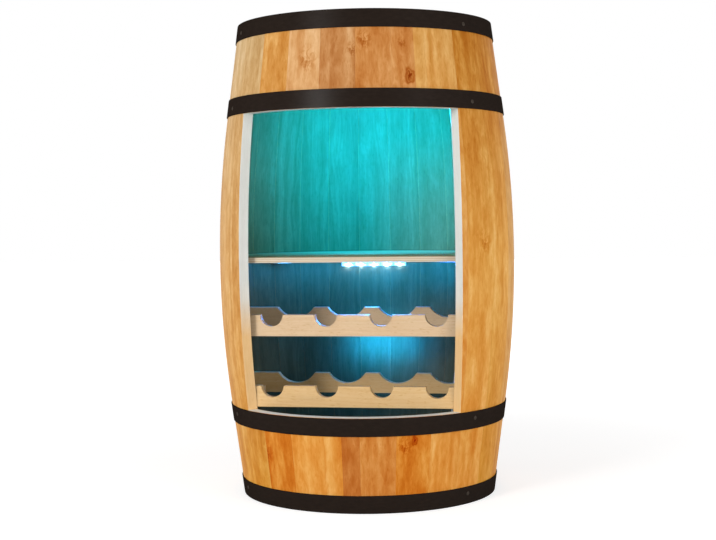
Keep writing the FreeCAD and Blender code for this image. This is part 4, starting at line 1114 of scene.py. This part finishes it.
def led_chip(mesh, place):
    """Chip with a chamfered body and a shallow round well, whose floor is its lens."""
    loops = []
    for out, reach, roundness in CHIP_LOOPS:
        loop = []
        for step in range(CHIP_SEGMENTS):
            angle = 2 * math.pi * (step + 0.5) / CHIP_SEGMENTS
            across, up = math.cos(angle), math.sin(angle)
            square = 1 / max(abs(across), abs(up))
            length = ((1 - roundness) * square + roundness) * reach * MM
            loop.append(mesh.verts.new(place @ Vector((-out * MM, across * length, up * length))))
        loops.append(loop)
    faces = [mesh.faces.new((near[step], near[step - 1], far[step - 1], far[step]))
             for near, far in zip(loops, loops[1:]) for step in range(CHIP_SEGMENTS)]
    for face in (*faces, mesh.faces.new(loops[0])):
        face.material_index = CHIP_BODY
    mesh.faces.new(loops[-1]).material_index = CHIP_LENS


def add_washes(power, colour):
    """Soft lamps behind the racks, aimed at the wall."""
    for number, (turn, height, tilt, share) in enumerate(WASHES, 1):
        # The lamp's -Z is turned to the wall frame's X, towards the wall, and then down
        place = (wall_frame(turn, height, STAVE_THICKNESS + WASH_STAND_OFF)
                 @ Matrix.Rotation(math.radians(tilt - 90), 4, "Y"))
        wash = add_lamp(f"wash_{number}", "AREA", power * share, colour, place, shape="RECTANGLE",
                        size=WASH_SIZE[0] * MM, size_y=WASH_SIZE[1] * MM)
        wash.visible_camera = False


def mark_tape(data, turn, height):
    """Store in its mesh how far a tape runs along the wall and how wide it is, in millimetres."""
    places = []
    for vertex in data.vertices:
        here, level, _ = place_of(vertex.co)
        along = math.radians(turn_from(here, turn)) * wall_radius(height, STAVE_THICKNESS)
        places += [along + TAPE_START, level - height, 0.0]
    data.attributes.new("tape", "FLOAT_VECTOR", "POINT").data.foreach_set("vector", places)


def build_tape(tape, materials, colour, power, light):
    """Tape with its chips, a lamp at each, and at the shelf the light that they throw about."""
    name, turn, chips = tape
    lowest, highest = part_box(name)
    height = (lowest[2] + highest[2]) / 2 / MM
    lens = led_lens("Lens of " + name, colour, light.lens_glow)
    mesh = bmesh.new()
    tape_strip(mesh, turn, height, chips)
    front = STAVE_THICKNESS + PART_GAP + TAPE_THICKNESS
    step = turn_span(CHIP_PITCH, height, STAVE_THICKNESS)
    for number in range(chips):
        chip_turn = turn + (number - (chips - 1) / 2) * step
        led_chip(mesh, wall_frame(chip_turn, height, front + PART_GAP))
        lamp = f"{name}_lamp_{number + 1}"
        # The lamp's -Z is turned to the wall frame's -X, into the barrel
        place = (wall_frame(chip_turn, height, front + CHIP_HEIGHT + CHIP_LAMP_STAND_OFF)
                 @ Matrix.Rotation(math.radians(90), 4, "Y"))
        add_lamp(lamp, "AREA", power, colour, place, shape="DISK", size=CHIP_LAMP_SIZE * MM,
                 spread=math.radians(CHIP_BEAM))
        if tape == SHELF_TAPE:
            # Stray light of the lenses, which draws bright pools on the wall beside them
            spot = wall_point(chip_turn, height - STRAY_DROP, STAVE_THICKNESS + STRAY_STAND_OFF)
            add_lamp(lamp + "_stray", "POINT", light.stray_power, glare(colour), Matrix.Translation(spot),
                     shadow_soft_size=STRAY_RADIUS * MM)
    if tape == SHELF_TAPE:
        add_washes(light.wash_power, colour)
    close_mesh(mesh)
    piece = add_piece(name + "_strip", mesh, CABINET, [*materials, lens], name)
    mark_tape(piece.data, turn, height)
    soften(piece, 0.12 * MM, angle=50.0)


def build_tapes(parts, light):
    # Polyimide under solder mask, printed: satin white with small copper pads
    face = flexible_circuit("Flexible circuit", parts.tape)
    # Epoxy resin, moulded: white and matt
    body = moulded_plastic("White chip resin", linear(CHIP_RESIN)[:3], roughness=0.4, grain_mm=0.4)
    build_tape(UPPER_TAPE, [face, body], light.upper_colour, light.upper_power, light)
    build_tape(SHELF_TAPE, [face, body], light.shelf_colour, light.shelf_power, light)


def circuit_board(name, colour):
    """Glass-epoxy board under green solder mask, with thin tracks in it."""
    material, tree = new_material(name)
    coordinates = add_node(tree, "ShaderNodeTexCoord").outputs["Object"]
    # Tracks are 0.3 mm wide and drawn 0.5 mm wide, in a 1.6 mm raster
    cells = add_node(tree, "ShaderNodeTexBrick", {
        "Vector": coordinates, "Scale": 100.0, "Mortar Size": 0.004, "Color1": (*colour, 1.0),
        "Color2": linear(BOARD_SHADE), "Mortar": linear(BOARD_TRACK), "Brick Width": 0.5, "Row Height": 0.16})
    shader = add_node(tree, "ShaderNodeBsdfPrincipled", {"Base Color": cells, "Roughness": 0.3})
    add_node(tree, "ShaderNodeOutputMaterial", {0: shader})
    return material


def build_controller(parts):
    # ABS, injection moulded: light grey with the fine grain of the mould
    case = moulded_plastic("Moulded ABS", parts.case, roughness=0.45, grain_mm=0.6)
    finish_node("controller_case", case, softness=0.4)
    finish_node("controller_cover", case, softness=0.4)
    # The same ABS in mid grey, polished smoother where fingers press
    key = moulded_plastic("Moulded ABS of the keys", parts.key, roughness=0.36, grain_mm=0.9)
    for name in ("key_colour", "key_brightness", "key_power"):
        finish_node(name, key, softness=0.5)
    # Glass cloth in epoxy, lacquered: glossy green with paler tracks
    finish_node("controller_board", circuit_board("Glass-epoxy board", parts.board), softness=0.1)


def build_power(parts):
    # Nylon, injection moulded: black with a low sheen
    nylon = moulded_plastic("Moulded nylon", parts.inlet, roughness=0.42, grain_mm=0.5)
    finish_node("power_inlet", nylon, softness=0.3)
    # Soft vinyl, extruded: off-white and smooth, with a soft gloss
    vinyl = moulded_plastic("Extruded vinyl", parts.wire, roughness=0.38, grain_mm=1.2)
    finish_node("wiring", vinyl, softness=0.3)


# Stage

def add_camera(lens):
    yaw, pitch, roll = (math.radians(angle) for angle in (CAMERA_YAW, CAMERA_PITCH, CAMERA_ROLL))
    forward = Vector((-math.sin(yaw) * math.cos(pitch), math.cos(yaw) * math.cos(pitch), math.sin(pitch)))
    right = Vector((math.cos(yaw), math.sin(yaw), 0.0))
    up = right.cross(forward)
    across = math.cos(roll) * right + math.sin(roll) * up
    upward = math.cos(roll) * up - math.sin(roll) * right
    data = bpy.data.cameras.new("camera")
    data.sensor_fit = "HORIZONTAL"
    data.sensor_width = SENSOR_WIDTH
    data.lens = lens
    camera = bpy.data.objects.new("camera", data)
    turned = Matrix((across, upward, -forward)).transposed().to_4x4()
    camera.matrix_world = Matrix.Translation(CAMERA_PLACE) @ turned
    bpy.context.scene.collection.objects.link(camera)
    bpy.context.scene.camera = camera


def add_softboxes(stage):
    for name, azimuth, elevation, distance, size, aim, power in SOFTBOXES:
        turn, rise = math.radians(azimuth), math.radians(elevation)
        away = Vector((math.sin(turn) * math.cos(rise), -math.cos(turn) * math.cos(rise), math.sin(rise)))
        place = Matrix.Translation(Vector((0.0, 0.0, aim)) + away * distance)
        place @= away.to_track_quat("Z", "Y").to_matrix().to_4x4()
        box = add_lamp(name, "AREA", getattr(stage, power), (1.0, 1.0, 1.0), place, shape="SQUARE", size=size)
        box.visible_camera = False


def unseen_light(tree):
    """1 for the rays by which the camera, gloss and glass see the surroundings, else 0."""
    path = add_node(tree, "ShaderNodeLightPath")
    seen = add_node(tree, "ShaderNodeMath", {
        0: path.outputs["Is Camera Ray"], 1: path.outputs["Is Glossy Ray"]}, operation="MAXIMUM")
    return add_node(tree, "ShaderNodeMath", {0: seen, 1: path.outputs["Is Transmission Ray"]},
                    operation="MAXIMUM")


def add_sky(strength):
    """Even white sky, brighter overhead than at the horizon, as under a ceiling of diffusers."""
    world = bpy.data.worlds.new("studio")
    bpy.context.scene.world = world
    world.use_nodes = True
    tree = world.node_tree
    tree.nodes.clear()
    direction = add_node(tree, "ShaderNodeTexCoord").outputs["Generated"]
    rise = add_node(tree, "ShaderNodeSeparateXYZ", {0: direction}).outputs["Z"]
    level = add_node(tree, "ShaderNodeMapRange", {
        0: rise, 1: 0.0, 2: 1.0, 3: strength * SKY_AT_HORIZON, 4: strength * SKY_OVERHEAD})
    sky = add_node(tree, "ShaderNodeBackground", {"Color": grey(1.0), "Strength": level})
    white = add_node(tree, "ShaderNodeBackground", {"Color": grey(1.0), "Strength": 1.0})
    mix = add_node(tree, "ShaderNodeMixShader", {0: unseen_light(tree), 1: sky, 2: white})
    add_node(tree, "ShaderNodeOutputWorld", {0: mix})


def add_floor(colour):
    # Painted floor: matt and pale. What the camera sees of it is lifted to white outside the shadow
    paint, tree = new_material("Matt floor paint")
    coordinates = add_node(tree, "ShaderNodeTexCoord").outputs["Object"]
    mottle = add_node(tree, "ShaderNodeTexNoise", {"Vector": coordinates, "Scale": 9.0, "Detail": 3.0})
    rough = add_node(tree, "ShaderNodeMapRange", {0: mottle, 1: 0.3, 2: 0.7, 3: 0.75, 4: 0.85})
    matt = add_node(tree, "ShaderNodeBsdfPrincipled", {
        "Base Color": (*colour, 1.0), "Roughness": rough, "Specular IOR Level": 0.0})
    reach = add_node(tree, "ShaderNodeVectorMath", {0: coordinates}, operation="LENGTH").outputs["Value"]
    far = add_node(tree, "ShaderNodeMapRange", {0: reach, 1: 0.4, 2: 2.2, 3: 0.7, 4: 1.0},
                   interpolation_type="SMOOTHSTEP")
    lift = add_node(tree, "ShaderNodeMath", {0: unseen_light(tree), 1: far}, operation="MULTIPLY")
    glow = add_node(tree, "ShaderNodeEmission", {"Color": grey(1.0), "Strength": lift})
    both = add_node(tree, "ShaderNodeAddShader", {0: matt, 1: glow})
    add_node(tree, "ShaderNodeOutputMaterial", {0: both})
    mesh = bmesh.new()
    bmesh.ops.create_grid(mesh, x_segments=FLOOR_SQUARES, y_segments=FLOOR_SQUARES, size=FLOOR_HALF_SIZE)
    data = bpy.data.meshes.new("floor")
    mesh.to_mesh(data)
    mesh.free()
    data.materials.append(paint)
    floor = bpy.data.objects.new("floor", data)
    floor.location.z = CAD_BOX[0].z
    bpy.context.scene.collection.objects.link(floor)


def build_stage(stage):
    bpy.context.scene.view_settings.view_transform = "Standard"
    add_camera(stage.lens)
    add_softboxes(stage)
    add_sky(stage.sky)
    add_floor(stage.floor)


# Operators

class BARREL_OT_staves(bpy.types.Operator):
    """Build the staves of the barrel wall"""
    bl_idname = "barrel.staves"
    bl_label = "Staves"

    def execute(self, context):
        build_staves(context.scene.barrel_wood)
        return {"FINISHED"}


class BARREL_OT_hoops(bpy.types.Operator):
    """Build the four hoops"""
    bl_idname = "barrel.hoops"
    bl_label = "Hoops"

    def execute(self, context):
        build_hoops(context.scene.barrel_metal)
        return {"FINISHED"}


class BARREL_OT_fasteners(bpy.types.Operator):
    """Build the nails and rivets of the hoops"""
    bl_idname = "barrel.fasteners"
    bl_label = "Nails and rivets"

    def execute(self, context):
        build_fasteners(context.scene.barrel_metal)
        return {"FINISHED"}


class BARREL_OT_heads(bpy.types.Operator):
    """Finish the boards of the two heads"""
    bl_idname = "barrel.heads"
    bl_label = "Heads"

    def execute(self, context):
        build_heads(context.scene.barrel_wood)
        return {"FINISHED"}


class BARREL_OT_shelf(bpy.types.Operator):
    """Finish the plywood shelf"""
    bl_idname = "barrel.shelf"
    bl_label = "Shelf"

    def execute(self, context):
        build_shelf(context.scene.barrel_wood)
        return {"FINISHED"}


class BARREL_OT_racks(bpy.types.Operator):
    """Finish the rails of the bottle racks and the support blocks"""
    bl_idname = "barrel.racks"
    bl_label = "Bottle racks"

    def execute(self, context):
        build_racks(context.scene.barrel_wood)
        return {"FINISHED"}


class BARREL_OT_screws(bpy.types.Operator):
    """Finish the screws"""
    bl_idname = "barrel.screws"
    bl_label = "Screws"

    def execute(self, context):
        build_screws(context.scene.barrel_metal)
        return {"FINISHED"}


class BARREL_OT_tapes(bpy.types.Operator):
    """Build the two LED tapes and their light"""
    bl_idname = "barrel.tapes"
    bl_label = "LED tapes"

    def execute(self, context):
        build_tapes(context.scene.barrel_parts, context.scene.barrel_light)
        return {"FINISHED"}


class BARREL_OT_controller(bpy.types.Operator):
    """Finish the LED controller and its keys"""
    bl_idname = "barrel.controller"
    bl_label = "LED controller"

    def execute(self, context):
        build_controller(context.scene.barrel_parts)
        return {"FINISHED"}


class BARREL_OT_power(bpy.types.Operator):
    """Finish the power inlet and the wires"""
    bl_idname = "barrel.power"
    bl_label = "Power inlet and wires"

    def execute(self, context):
        build_power(context.scene.barrel_parts)
        return {"FINISHED"}


class BARREL_OT_stage(bpy.types.Operator):
    """Set up the camera, the lamps, the sky and the floor"""
    bl_idname = "barrel.stage"
    bl_label = "Stage"

    def execute(self, context):
        build_stage(context.scene.barrel_stage)
        return {"FINISHED"}


OPERATORS = (
    BARREL_OT_staves, BARREL_OT_hoops, BARREL_OT_fasteners, BARREL_OT_heads, BARREL_OT_shelf, BARREL_OT_racks,
    BARREL_OT_screws, BARREL_OT_tapes, BARREL_OT_controller, BARREL_OT_power, BARREL_OT_stage,
)
SETTINGS = {
    "barrel_wood": BarrelWood,
    "barrel_metal": BarrelMetal,
    "barrel_light": BarrelLight,
    "barrel_parts": BarrelParts,
    "barrel_stage": BarrelStage,
}


class BARREL_PT_cabinet(bpy.types.Panel):
    """Sizes, colours and pieces of the barrel bar cabinet"""
    bl_idname = "BARREL_PT_cabinet"
    bl_label = "Barrel bar cabinet"
    bl_space_type = "VIEW_3D"
    bl_region_type = "UI"
    bl_category = "Barrel"

    def draw(self, context):
        for name in SETTINGS:
            box = self.layout.box()
            settings = getattr(context.scene, name)
            for prop in settings.bl_rna.properties:
                if prop.identifier not in ("rna_type", "name"):
                    box.prop(settings, prop.identifier)
        for operator in OPERATORS:
            self.layout.operator(operator.bl_idname)


def register():
    for cls in (*SETTINGS.values(), *OPERATORS, BARREL_PT_cabinet):
        bpy.utils.register_class(cls)
    for name, group in SETTINGS.items():
        setattr(bpy.types.Scene, name, bpy.props.PointerProperty(type=group))


def unregister():
    for name in SETTINGS:
        delattr(bpy.types.Scene, name)
    for cls in reversed((*SETTINGS.values(), *OPERATORS, BARREL_PT_cabinet)):
        bpy.utils.unregister_class(cls)


def main():
    register()
    for operator in OPERATORS:
        getattr(bpy.ops.barrel, operator.bl_idname.split(".")[1])()


if __name__ == "__main__":
    main()
